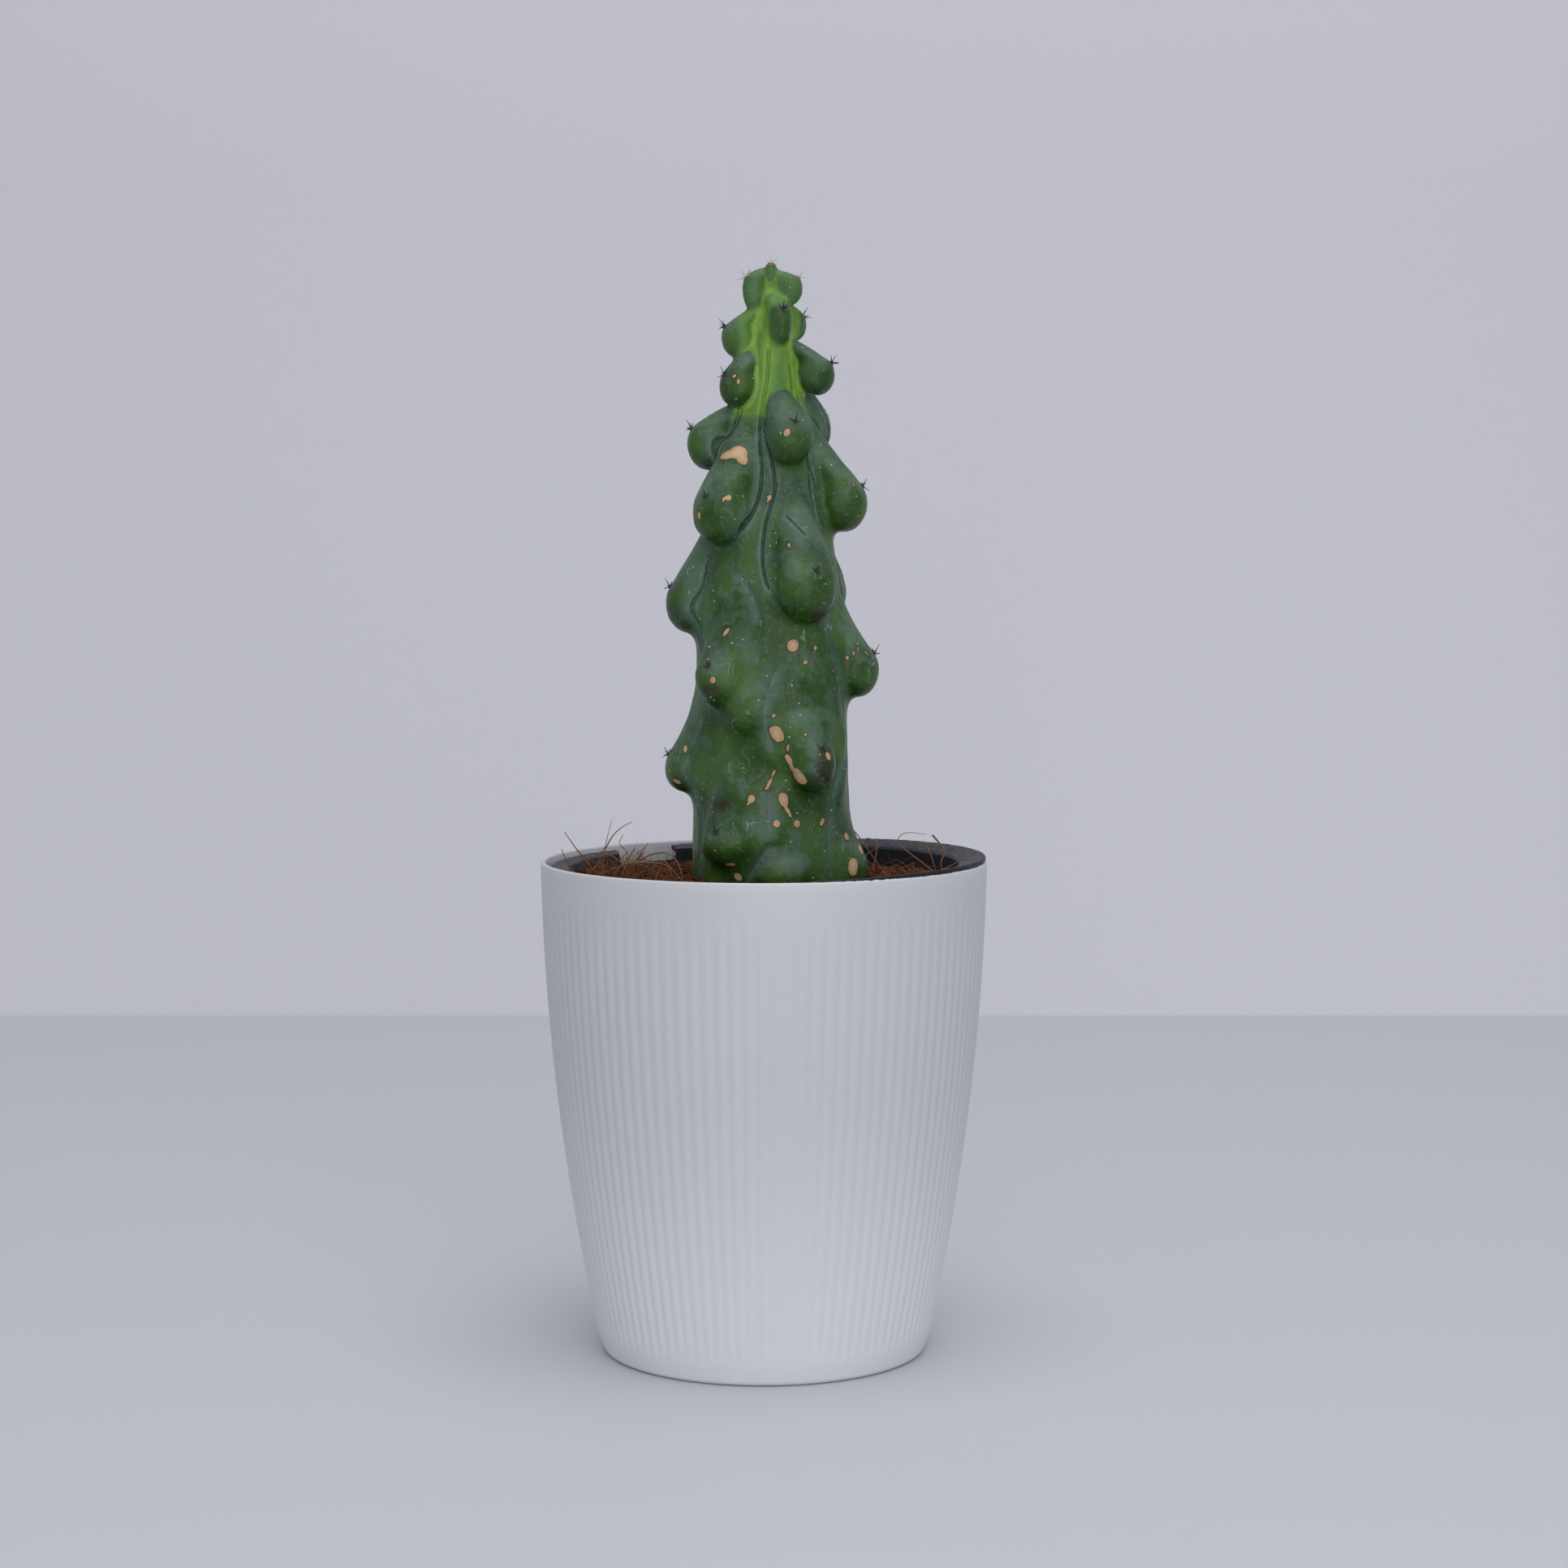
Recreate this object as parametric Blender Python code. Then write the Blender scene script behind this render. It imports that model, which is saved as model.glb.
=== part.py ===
"""Potted tall cactus: a knobbly column cactus in coir soil, in a black liner pot inside a white fluted pot.

Metres, +Z up, origin at the centre of the pot's flat underside, front of the plant towards -Y.
"""

import math

import bmesh
import bpy
import numpy as np
from mathutils import Vector, noise
from mathutils.bvhtree import BVHTree

MM = 0.001
GAP = 0.3 * MM  # between pieces that touch

# Outer pot
POT_HEIGHT = 133.0 * MM
RIM_RADIUS = 60.0 * MM
BASE_RADIUS = 44.0 * MM
POT_STRAIGHTNESS = 0.13  # 1 is a straight cone, 0 a wall that curves in all the way down
LIP_WALL = 1.3 * MM
POT_WALL = 1.8 * MM
POT_FLOOR = 2.2 * MM
FOOT_ROUND = 2.0 * MM
FLUTES = 102
FLUTE_DEPTH = 0.45 * MM
FLUTE_TOP = 6.0 * MM  # plain band under the lip
FLUTE_FADE = 3.0 * MM
FLUTE_FOOT = 7.0 * MM  # plain band above the underside

# Liner pot
LINER_FLANGE = 5.6 * MM
FLANGE_FALL = 1.0 * MM  # the flange slopes down inwards
LINER_WALL = 1.2 * MM
LINER_FLOOR = 1.6 * MM
LINER_STAND = 22.0 * MM  # water space under the liner
LINER_BASE_RADIUS = 35.0 * MM
LINER_SINK = 0.2 * MM  # flange edge below the outer pot's lip
LINER_TILT = math.radians(0.73)  # the liner sits high on the right
NOTCH_AZIMUTH = -141.5  # degrees from the front, at the back left
NOTCH_WIDTH = 23.0 * MM
NOTCH_DEPTH = 4.2 * MM
DRAIN_HOLES = 6
DRAIN_RADIUS = 2.6 * MM
DRAIN_CIRCLE = 22.0 * MM

# Soil
SOIL_BELOW_RIM = 5.4 * MM
SOIL_LUMPS = 0.8 * MM
SOCKET_CLEARANCE = 1.2 * MM
SOIL_POINTS = 48

# Plant
PLANT_OFFSET = 1.9 * MM  # the stem stands a little right of the pot's middle
PLANT_RISE = 159.4 * MM  # top of the plant above the pot's rim
PLANT_GIRTH = 42.6 * MM  # across the core of the stem at the soil
FOOT_DEPTH = 30.0 * MM
SKIN_VOXEL = 1.9 * MM
SKIN_SHARE = 0.24  # faces kept when the skin is simplified
STEM_STEPS = 26
STEM_POINTS = 36

# The core of the stem: share of the girth at each share of the way down from tip to soil
CORE_DOWN = (0.0, 0.03, 0.10, 0.165, 0.23, 0.32, 0.435, 0.6, 0.8, 1.0)
CORE_WIDTH = (0.03, 0.13, 0.23, 0.31, 0.41, 0.59, 0.76, 0.9, 0.96, 1.0)

# Each rib is a stack of swellings: azimuth in degrees from the front (+ to the right), then in millimetres
# the areole's depth under the plant's top, how far the swelling reaches from the stem's axis, how far it
# hangs below its areole, its half width, and how far its ridge climbs above the areole. The last figure is
# how hollow the ridge runs up: 1 is straight. The millimetres are for the rise and girth named here, and
# follow PLANT_RISE and PLANT_GIRTH when those change.
DRAWN_RISE = 159.4 * MM
DRAWN_GIRTH = 42.6 * MM
RIBS = {
    "front_right": (
        (8, 1.2, 3.6, 6.5, 2.1, 1.0, 1.0),
        (20, 12.5, 10.6, 10.2, 3.5, 6.0, 1.0),
        (19, 42.3, 21.0, 11.5, 6.4, 12.0, 1.0),
        (27, 81.3, 27.6, 13.8, 8.8, 24.0, 1.2),
        (29, 127.8, 28.4, 11.8, 8.4, 28.0, 1.9),
    ),
    "front_left": (
        (-58, 3.5, 8.4, 8.9, 3.6, 2.4, 1.0),
        (-60, 29.6, 15.0, 8.9, 5.3, 8.0, 0.9),
        (-45, 61.7, 25.4, 12.8, 8.4, 20.0, 1.0),
        (-37, 105.9, 28.0, 11.4, 8.8, 26.0, 1.8),
        (-33, 149.6, 26.6, 9.2, 8.6, 26.0, 2.0),
    ),
    "left": (
        (-78, 16.8, 13.4, 8.7, 4.6, 6.0, 0.9),
        (-88, 43.6, 22.4, 11.4, 6.4, 8.0, 0.9),
        (-88, 85.6, 28.2, 12.9, 7.8, 20.0, 1.1),
        (-88, 130.4, 28.6, 10.6, 7.8, 24.0, 2.2),
    ),
    "right": (
        (66, 3.5, 8.8, 8.1, 3.9, 2.4, 1.0),
        (78, 26.4, 17.3, 8.9, 5.4, 7.0, 0.9),
        (83, 58.9, 25.9, 12.6, 7.8, 20.0, 1.2),
        (88, 103.5, 29.0, 12.2, 8.4, 28.0, 2.1),
    ),
    "back_right": (
        (118, 13.6, 10.3, 7.2, 3.7, 5.0, 0.9),
        (132, 40.0, 19.6, 11.2, 6.2, 13.0, 1.0),
        (140, 83.0, 27.2, 13.2, 8.0, 22.0, 1.3),
        (146, 129.0, 28.0, 11.2, 8.2, 28.0, 2.1),
    ),
    "back_left": (
        (-125, 2.2, 6.0, 7.0, 3.2, 1.6, 1.0),
        (-140, 28.5, 15.0, 9.2, 5.2, 8.0, 0.9),
        (-146, 60.5, 24.6, 12.6, 7.8, 20.0, 1.1),
        (-150, 105.0, 28.0, 12.0, 8.4, 26.0, 1.9),
        (-152, 149.0, 27.6, 9.2, 8.4, 26.0, 2.1),
    ),
}
# Broad shoulders without an areole fill the stem out between the low swellings.
SHOULDERS = (
    (-14, 112.0, 24.6, 15.0, 9.0, 28.0, 1.6),
    (-10, 148.0, 24.6, 11.0, 9.0, 26.0, 1.6),
    (8, 122.0, 24.2, 16.0, 7.0, 30.0, 1.6),
    (58, 116.0, 23.0, 34.0, 8.0, 30.0, 1.5),
    (-66, 118.0, 22.6, 34.0, 8.0, 28.0, 1.5),
)
AREOLE_LIFT = math.radians(40)  # the areole sits this far above a swelling's widest point
RING_POINTS = 14
BALL_RINGS = 6
RIDGE_RINGS = 6

# Areoles and spines
PAD_RADIUS = 0.75 * MM
PAD_HEIGHT = 0.55 * MM
SPINE_LENGTH = 2.2 * MM
SPINE_POINT = 0.12  # width of a spine's point beside its foot
SPINES = 4

# Loose coir fibres: azimuth from the front, distance from the pot's axis, height, lean outwards, curl
FIBRES = (
    (-92, 44, 9, -7, 2.0),
    (-84, 40, 7, 3, -2.5),
    (88, 36, 15, -9, 3.0),
    (96, 46, 10, -4, -2.0),
    (104, 49, 7, 4, 2.5),
    (-60, 38, 6, 5, 1.5),
)
FIBRE_RADIUS = 0.3 * MM
FIBRE_POINTS = 7

SOIL_TOP = POT_HEIGHT - SOIL_BELOW_RIM
PLANT_TOP = POT_HEIGHT + PLANT_RISE
TALL = MM * PLANT_RISE / DRAWN_RISE  # one drawn millimetre up the plant
WIDE = MM * PLANT_GIRTH / DRAWN_GIRTH  # one drawn millimetre across it
FLANGE_RADIUS = RIM_RADIUS - LIP_WALL - 2.6 * GAP
SEGMENTS = 72  # around the liner


def clear_scene():
    for obj in list(bpy.data.objects):
        bpy.data.objects.remove(obj, do_unlink=True)


def material(name, colour, roughness, metallic=0.0):
    made = bpy.data.materials.new(name)
    made.use_nodes = True
    shader = made.node_tree.nodes["Principled BSDF"]
    shader.inputs["Base Color"].default_value = (*colour, 1.0)
    shader.inputs["Roughness"].default_value = roughness
    shader.inputs["Metallic"].default_value = metallic
    return made


def on_circle(radius, azimuth, height):
    """A point at this distance from the axis, azimuth measured from the front towards the right."""
    return Vector((radius * math.sin(azimuth), -radius * math.cos(azimuth), height))


def add_object(name, mesh, look):
    obj = bpy.data.objects.new(name, mesh)
    bpy.context.scene.collection.objects.link(obj)
    obj.data.materials.append(look)
    return obj


def loft(bm, rings):
    """Skins rings of equal point count, one after another, and closes both ends with a fan to its middle."""
    rows = [[bm.verts.new(point) for point in ring] for ring in rings]
    for lower, upper in zip(rows, rows[1:]):
        count = len(lower)
        for i in range(count):
            j = (i + 1) % count
            bm.faces.new((lower[i], lower[j], upper[j], upper[i]))
    for row in (rows[0], rows[-1]):
        middle = bm.verts.new(sum((v.co for v in row), Vector()) / len(row))
        for i, vertex in enumerate(row):
            bm.faces.new((vertex, row[(i + 1) % len(row)], middle))


def finish_mesh(bm, name, smooth_angle=40):
    bmesh.ops.recalc_face_normals(bm, faces=bm.faces)
    mesh = bpy.data.meshes.new(name)
    bm.to_mesh(mesh)
    bm.free()
    mesh.shade_smooth()
    mesh.set_sharp_from_angle(angle=math.radians(smooth_angle))
    return mesh


def circle(radius, height, count=SEGMENTS):
    turn = 2 * math.pi / count
    return [on_circle(radius, i * turn, height) for i in range(count)]


def pot_radius(height):
    """Outer radius of the outer pot's plain wall."""
    down = 1 - height / POT_HEIGHT
    share = POT_STRAIGHTNESS * down + (1 - POT_STRAIGHTNESS) * down**2
    return RIM_RADIUS - (RIM_RADIUS - BASE_RADIUS) * share


def flute_strength(height):
    fade_up = (POT_HEIGHT - FLUTE_TOP - height) / FLUTE_FADE
    fade_down = (height - FLUTE_FOOT) / FLUTE_FADE
    return max(0.0, min(1.0, fade_up, fade_down))


def fluted_ring(height):
    """Two points to a flute: one on its ridge and one in its valley."""
    depth = FLUTE_DEPTH * flute_strength(height)
    turn = math.pi / FLUTES
    return [
        on_circle(pot_radius(height) - depth * (i % 2), i * turn, height)
        for i in range(2 * FLUTES)
    ]


def outer_pot(look):
    rings = [circle(BASE_RADIUS - FOOT_ROUND, 0, 2 * FLUTES)]
    heights = [FOOT_ROUND, FLUTE_FOOT, FLUTE_FOOT + FLUTE_FADE]
    top = POT_HEIGHT - FLUTE_TOP - FLUTE_FADE
    heights += [heights[-1] + (top - heights[-1]) * i / 3 for i in (1, 2)]
    heights += [top, POT_HEIGHT - FLUTE_TOP]
    rings += [fluted_ring(height) for height in heights]
    lip = 0.4 * LIP_WALL
    rings.append(circle(pot_radius(POT_HEIGHT - lip), POT_HEIGHT - lip, 2 * FLUTES))
    rings.append(circle(RIM_RADIUS - lip, POT_HEIGHT, 2 * FLUTES))
    rings.append(circle(RIM_RADIUS - LIP_WALL, POT_HEIGHT - 0.3 * lip, 2 * FLUTES))
    shoulder = POT_HEIGHT - FLUTE_TOP
    rings.append(circle(pot_radius(shoulder) - POT_WALL, shoulder, 2 * FLUTES))
    middle = 0.45 * POT_HEIGHT
    rings.append(circle(pot_radius(middle) - POT_WALL, middle, 2 * FLUTES))
    rings.append(circle(pot_radius(POT_FLOOR) - POT_WALL, POT_FLOOR, 2 * FLUTES))
    bm = bmesh.new()
    loft(bm, rings)
    return add_object("outer_pot", finish_mesh(bm, "outer_pot"), look)


def liner_radius(height):
    """Outer radius of the liner's wall, a straight taper from its flange to its floor."""
    neck = FLANGE_RADIUS - LINER_FLANGE
    up = (height - LINER_STAND) / (liner_top() - FLANGE_FALL - LINER_STAND)
    return LINER_BASE_RADIUS + (neck - LINER_BASE_RADIUS) * up


def liner_bore(height):
    """Inner radius of the liner's wall, from its floor to the underside of the flange's slope."""
    low = LINER_STAND + LINER_FLOOR
    high = liner_top() - FLANGE_FALL - LINER_WALL
    base = LINER_BASE_RADIUS - LINER_WALL
    neck = FLANGE_RADIUS - LINER_FLANGE - 2 * LINER_WALL
    return base + (neck - base) * (height - low) / (high - low)


def liner_top():
    return POT_HEIGHT - LINER_SINK


def hidden_cutter(name, mesh):
    cutter = bpy.data.objects.new(name, mesh)
    bpy.context.scene.collection.objects.link(cutter)
    cutter.hide_render = True
    cutter.display_type = "WIRE"
    return cutter


def cut(obj, cutter):
    boolean = obj.modifiers.new(cutter.name, "BOOLEAN")
    boolean.operation = "DIFFERENCE"
    boolean.solver = "EXACT"
    boolean.object = cutter


def notch_cutter():
    """A block through the flange and the top of the wall, where water is poured in."""
    bm = bmesh.new()
    bmesh.ops.create_cube(bm, size=1.0)
    inner = FLANGE_RADIUS - LINER_FLANGE - 4 * LINER_WALL
    outer = RIM_RADIUS + 4 * LINER_WALL
    tall = 2 * NOTCH_DEPTH
    azimuth = math.radians(NOTCH_AZIMUTH)
    for vertex in bm.verts:
        side = -vertex.co.x * NOTCH_WIDTH
        out = (inner + outer) / 2 + vertex.co.y * (outer - inner)
        height = liner_top() - NOTCH_DEPTH + (vertex.co.z + 0.5) * tall
        across = Vector((math.cos(azimuth), math.sin(azimuth), 0)) * side
        vertex.co = on_circle(out, azimuth, height) + across
    bmesh.ops.recalc_face_normals(bm, faces=bm.faces)
    mesh = bpy.data.meshes.new("notch_cutter")
    bm.to_mesh(mesh)
    bm.free()
    return hidden_cutter("notch_cutter", mesh)


def drain_cutter():
    bm = bmesh.new()
    for i in range(DRAIN_HOLES):
        hole = bmesh.ops.create_cone(
            bm, cap_ends=True, segments=12, radius1=DRAIN_RADIUS, radius2=DRAIN_RADIUS, depth=6 * LINER_FLOOR
        )
        place = on_circle(DRAIN_CIRCLE, 2 * math.pi * i / DRAIN_HOLES, LINER_STAND)
        bmesh.ops.translate(bm, verts=hole["verts"], vec=place)
    mesh = bpy.data.meshes.new("drain_cutter")
    bm.to_mesh(mesh)
    bm.free()
    return hidden_cutter("drain_cutter", mesh)


def tilt_in_pot(obj):
    """Turns a piece about the middle of the rim, so that it rises on the right."""
    pivot = Vector((0, 0, POT_HEIGHT))
    obj.rotation_euler = (0, -LINER_TILT, 0)
    obj.location = pivot - obj.rotation_euler.to_matrix() @ pivot


def liner_pot(look):
    neck = FLANGE_RADIUS - LINER_FLANGE
    top = liner_top()
    edge = LINER_WALL
    under = top - FLANGE_FALL - LINER_WALL
    rings = [
        circle(LINER_BASE_RADIUS, LINER_STAND),
        circle(liner_radius(under), under),
        circle(FLANGE_RADIUS, top - edge),
        circle(FLANGE_RADIUS, top),
        circle(neck - LINER_WALL, top - FLANGE_FALL),
        circle(liner_bore(under), under),
        circle(liner_bore(LINER_STAND + LINER_FLOOR), LINER_STAND + LINER_FLOOR),
    ]
    bm = bmesh.new()
    loft(bm, rings)
    obj = add_object("liner_pot", finish_mesh(bm, "liner_pot"), look)
    for cutter in (notch_cutter(), drain_cutter()):
        tilt_in_pot(cutter)
        cut(obj, cutter)
    tilt_in_pot(obj)
    return obj


def core_radius(height):
    """Radius of the stem's core, from its tip down to the soil and on to its rounded buried foot."""
    if height < SOIL_TOP:
        depth = (SOIL_TOP - height) / FOOT_DEPTH
        return PLANT_GIRTH / 2 * math.sqrt(max(0.0, 1 - 0.93 * depth**2.4))
    down = (PLANT_TOP - height) / (PLANT_TOP - SOIL_TOP)
    return PLANT_GIRTH / 2 * float(np.interp(down, CORE_DOWN, CORE_WIDTH))


def stem_radius(azimuth, height):
    """The core with the flare that the lowest, half-buried swellings give it at the soil."""
    near_soil = math.exp(-(((height - SOIL_TOP - 3 * MM) / (9 * MM)) ** 2))
    front = math.exp(-(((azimuth - math.radians(8)) / 0.42) ** 2))
    right = math.exp(-(((azimuth - math.radians(80)) / 0.40) ** 2))
    back = math.exp(-(((azimuth - math.radians(200)) / 0.5) ** 2))
    flare = 3.2 * front + 5.4 * right + 3.0 * back
    return core_radius(height) + flare * MM * near_soil


def stem_ring(height, extra=0.0, count=STEM_POINTS):
    turn = 2 * math.pi / count
    middle = Vector((PLANT_OFFSET, 0, 0))
    return [
        middle + on_circle(stem_radius(i * turn, height) + extra, i * turn, height)
        for i in range(count)
    ]


def coir_soil(look):
    count = SOIL_POINTS
    top = SOIL_TOP
    low = LINER_STAND + LINER_FLOOR + GAP
    foot = top - FOOT_DEPTH - SOCKET_CLEARANCE
    outer = circle(liner_bore(top) - GAP, top, count)
    rings = [circle(liner_bore(low) - GAP, low, count), outer]
    inner = stem_ring(top, SOCKET_CLEARANCE, count)
    for share in (0.15, 0.4, 0.65, 0.88):
        ring = []
        for a, b in zip(outer, inner):
            point = a.lerp(b, share)
            lump = noise.noise(point * 180) + 0.5 * noise.noise(point * 420)
            point.z += SOIL_LUMPS * lump
            ring.append(point)
        rings.append(ring)
    rings.append(inner)
    for share in (0.12, 0.25, 0.4, 0.55, 0.7, 0.82, 0.92, 0.98):
        height = top - FOOT_DEPTH * share
        rings.append(stem_ring(height, SOCKET_CLEARANCE, count))
        for point in rings[-1]:
            point.z = top + (foot - top) * share
    bm = bmesh.new()
    loft(bm, rings)
    obj = add_object("coir_soil", finish_mesh(bm, "coir_soil"), look)
    tilt_in_pot(obj)
    return obj


def swelling_rings(azimuth, depth, reach, hang, half_width, climb, hollow):
    """Level sections of one swelling, from its lowest point up to the end of its ridge.

    Below and around the areole the section follows a hanging ball. Above the areole it follows a ridge
    that climbs the stem, thins out and dies into the core.
    """
    azimuth = math.radians(azimuth)
    areole_height = PLANT_TOP - depth * TALL
    half_height = hang * TALL / (1 + math.sin(AREOLE_LIFT))
    ball_height = areole_height - half_height * math.sin(AREOLE_LIFT)
    ball_depth = min(0.42 * reach * WIDE, 0.82 * half_height)
    ball_middle = reach * WIDE - ball_depth
    areole_reach = ball_middle + ball_depth * math.cos(AREOLE_LIFT)
    ridge_top = areole_height + climb * TALL
    top_reach = max(core_radius(ridge_top), 0.6 * MM)
    sections = []
    for i in range(BALL_RINGS + 1):
        angle = -0.5 * math.pi * 0.93 + (AREOLE_LIFT + 0.5 * math.pi * 0.93) * i / BALL_RINGS
        round_part = math.cos(angle)
        height = ball_height + half_height * math.sin(angle)
        width = half_width * WIDE * (round_part if angle < 0 else 1 - 0.25 * math.sin(angle) ** 2)
        inner = ball_middle - ball_depth * round_part * 1.2
        sections.append((height, inner, ball_middle + ball_depth * round_part, width))
    low_width = sections[-1][3]
    low_inner = sections[-1][1]
    for i in range(1, RIDGE_RINGS + 1):
        up = i / RIDGE_RINGS
        out = top_reach + (areole_reach - top_reach) * (1 - up) ** hollow
        inner = low_inner + (0.35 * top_reach - low_inner) * up
        width = low_width * (1 - up**1.5) + 0.25 * low_width * up
        sections.append((areole_height + climb * TALL * up, min(inner, out - 1.0 * MM), out, width))
    middle = Vector((PLANT_OFFSET, 0, 0))
    along = on_circle(1, azimuth, 0)
    across = Vector((math.cos(azimuth), math.sin(azimuth), 0))
    turn = 2 * math.pi / RING_POINTS
    return [
        [
            middle
            + along * ((inner + out) / 2 + (out - inner) / 2 * math.cos(k * turn))
            + across * width * math.sin(k * turn)
            + Vector((0, 0, height))
            for k in range(RING_POINTS)
        ]
        for height, inner, out, width in sections
    ]


def cactus(look):
    bm = bmesh.new()
    bottom = SOIL_TOP - FOOT_DEPTH
    middle = SOIL_TOP - FOOT_DEPTH / 2
    heights = [bottom + (middle - bottom) * (1 - math.cos(math.pi * i / 12)) for i in range(6)]
    heights += [middle + (PLANT_TOP - middle) * i / STEM_STEPS for i in range(STEM_STEPS + 1)]
    loft(bm, [stem_ring(height) for height in heights])
    for swellings in (*RIBS.values(), SHOULDERS):
        for swelling in swellings:
            loft(bm, swelling_rings(*swelling))
    obj = add_object("cactus", finish_mesh(bm, "cactus", 180), look)
    remesh = obj.modifiers.new("grow_together", "REMESH")
    remesh.mode = "VOXEL"
    remesh.voxel_size = SKIN_VOXEL
    remesh.use_smooth_shade = True
    soften = obj.modifiers.new("soften", "SMOOTH")
    soften.iterations = 2
    soften.factor = 0.5
    simplify = obj.modifiers.new("simplify", "DECIMATE")
    simplify.ratio = SKIN_SHARE
    return obj


def areole_mesh(name):
    """A low cushion of wool with spines drawn out of its upper faces, as one closed body."""
    bm = bmesh.new()
    bmesh.ops.create_uvsphere(bm, u_segments=8, v_segments=4, radius=1.0)
    for vertex in bm.verts:
        x, y, z = vertex.co
        vertex.co = (x * PAD_RADIUS, y * PAD_RADIUS, max(0, z) * PAD_HEIGHT)
    bmesh.ops.remove_doubles(bm, verts=bm.verts, dist=0.01 * MM)
    bmesh.ops.dissolve_limit(bm, angle_limit=math.radians(1), verts=bm.verts, edges=bm.edges)
    bmesh.ops.recalc_face_normals(bm, faces=bm.faces)
    bm.faces.ensure_lookup_table()
    sides = [
        face
        for face in bm.faces
        if face.normal.z > 0.1 and face.calc_center_median().z < 0.75 * PAD_HEIGHT
    ]
    sides.sort(key=lambda face: math.atan2(face.calc_center_median().y, face.calc_center_median().x))
    for face in sides[:: max(1, len(sides) // SPINES)]:
        direction = (face.normal + Vector((0, 0, 0.5))).normalized()
        drawn = bmesh.ops.extrude_discrete_faces(bm, faces=[face])["faces"][0]
        middle = drawn.calc_center_median()
        for vertex in drawn.verts:
            vertex.co = middle + (vertex.co - middle) * SPINE_POINT + direction * SPINE_LENGTH
    mesh = bpy.data.meshes.new(name)
    bm.to_mesh(mesh)
    bm.free()
    return mesh


def areoles(plant, look):
    """One areole on each swelling, standing on the plant's finished skin."""
    bpy.context.view_layer.update()
    graph = bpy.context.evaluated_depsgraph_get()
    skin = BVHTree.FromObject(plant, graph)
    shared = areole_mesh("areole")
    shared.materials.append(look)
    number = 0
    for swellings in RIBS.values():
        for azimuth, depth, reach, *_ in swellings:
            number += 1
            height = PLANT_TOP - depth * TALL
            outward = on_circle(1, math.radians(azimuth), 0)
            start = Vector((PLANT_OFFSET, 0, height)) + outward * 2 * reach * WIDE
            point, normal, _, _ = skin.ray_cast(start, -outward)
            if point is None:
                point, normal, _, _ = skin.find_nearest(start)
            obj = bpy.data.objects.new(f"areole_{number:02d}", shared)
            bpy.context.scene.collection.objects.link(obj)
            obj.location = point + normal * GAP
            obj.rotation_mode = "QUATERNION"
            obj.rotation_quaternion = normal.to_track_quat("Z", "Y")


def beside_stem(distance):
    """A fibre's distance from the axis, which gives way to a thicker stem but not past the liner's bore."""
    drawn_stem = DRAWN_GIRTH / 2
    share = (liner_bore(SOIL_TOP) - distance) / (liner_bore(SOIL_TOP) - drawn_stem)
    return distance + share * (PLANT_GIRTH / 2 - drawn_stem)


def fibres(look):
    """Loose fibres that stand out of the soil, each a bent hair in a vertical plane."""
    for number, (azimuth, distance, height, lean, curl) in enumerate(FIBRES, 1):
        azimuth = math.radians(azimuth)
        across = Vector((math.cos(azimuth), math.sin(azimuth), 0))
        curve = bpy.data.curves.new(f"coir_fibre_{number:02d}", "CURVE")
        curve.dimensions = "3D"
        curve.bevel_depth = FIBRE_RADIUS
        curve.bevel_resolution = 1
        curve.use_fill_caps = True
        spline = curve.splines.new("POLY")
        spline.points.add(FIBRE_POINTS - 1)
        foot = SOIL_TOP + SOIL_LUMPS + LINER_TILT * distance * MM + FIBRE_RADIUS + GAP
        for i, point in enumerate(spline.points):
            up = i / (FIBRE_POINTS - 1)
            away = beside_stem((distance + lean * up**1.6) * MM)
            place = on_circle(away, azimuth, foot + height * MM * up)
            place += across * curl * MM * math.sin(2.6 * up)
            point.co = (*place, 1)
        curve.materials.append(look)
        obj = bpy.data.objects.new(curve.name, curve)
        bpy.context.scene.collection.objects.link(obj)


def main():
    clear_scene()
    white = material("white_plastic", (0.80, 0.79, 0.80), 0.42)
    black = material("black_plastic", (0.012, 0.013, 0.017), 0.45)
    coir = material("coir", (0.16, 0.075, 0.035), 0.95)
    skin = material("green_skin", (0.045, 0.14, 0.035), 0.5)
    spine = material("dark_spines", (0.03, 0.02, 0.02), 0.6)
    fibre = material("coir_fibre", (0.34, 0.19, 0.09), 0.85)
    outer_pot(white)
    liner_pot(black)
    coir_soil(coir)
    plant = cactus(skin)
    areoles(plant, spine)
    fibres(fibre)


main()
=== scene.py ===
import math
import random

import bpy
import numpy as np
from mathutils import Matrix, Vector
from mathutils.bvhtree import BVHTree


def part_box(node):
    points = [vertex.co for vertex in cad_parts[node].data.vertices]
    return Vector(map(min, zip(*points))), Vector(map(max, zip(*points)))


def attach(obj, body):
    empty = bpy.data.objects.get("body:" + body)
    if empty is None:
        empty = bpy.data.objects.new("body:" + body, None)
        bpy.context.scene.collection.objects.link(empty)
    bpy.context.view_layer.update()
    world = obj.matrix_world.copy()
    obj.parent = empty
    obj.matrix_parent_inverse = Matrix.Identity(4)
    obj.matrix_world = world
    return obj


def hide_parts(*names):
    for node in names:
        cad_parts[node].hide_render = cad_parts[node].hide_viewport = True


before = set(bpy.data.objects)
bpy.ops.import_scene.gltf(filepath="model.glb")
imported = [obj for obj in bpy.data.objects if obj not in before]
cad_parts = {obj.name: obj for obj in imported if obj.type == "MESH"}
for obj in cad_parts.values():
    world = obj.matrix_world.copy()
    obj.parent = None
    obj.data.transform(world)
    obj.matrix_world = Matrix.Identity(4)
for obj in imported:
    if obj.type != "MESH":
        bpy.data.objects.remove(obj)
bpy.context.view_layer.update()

mm = 0.001


# small helpers

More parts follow.
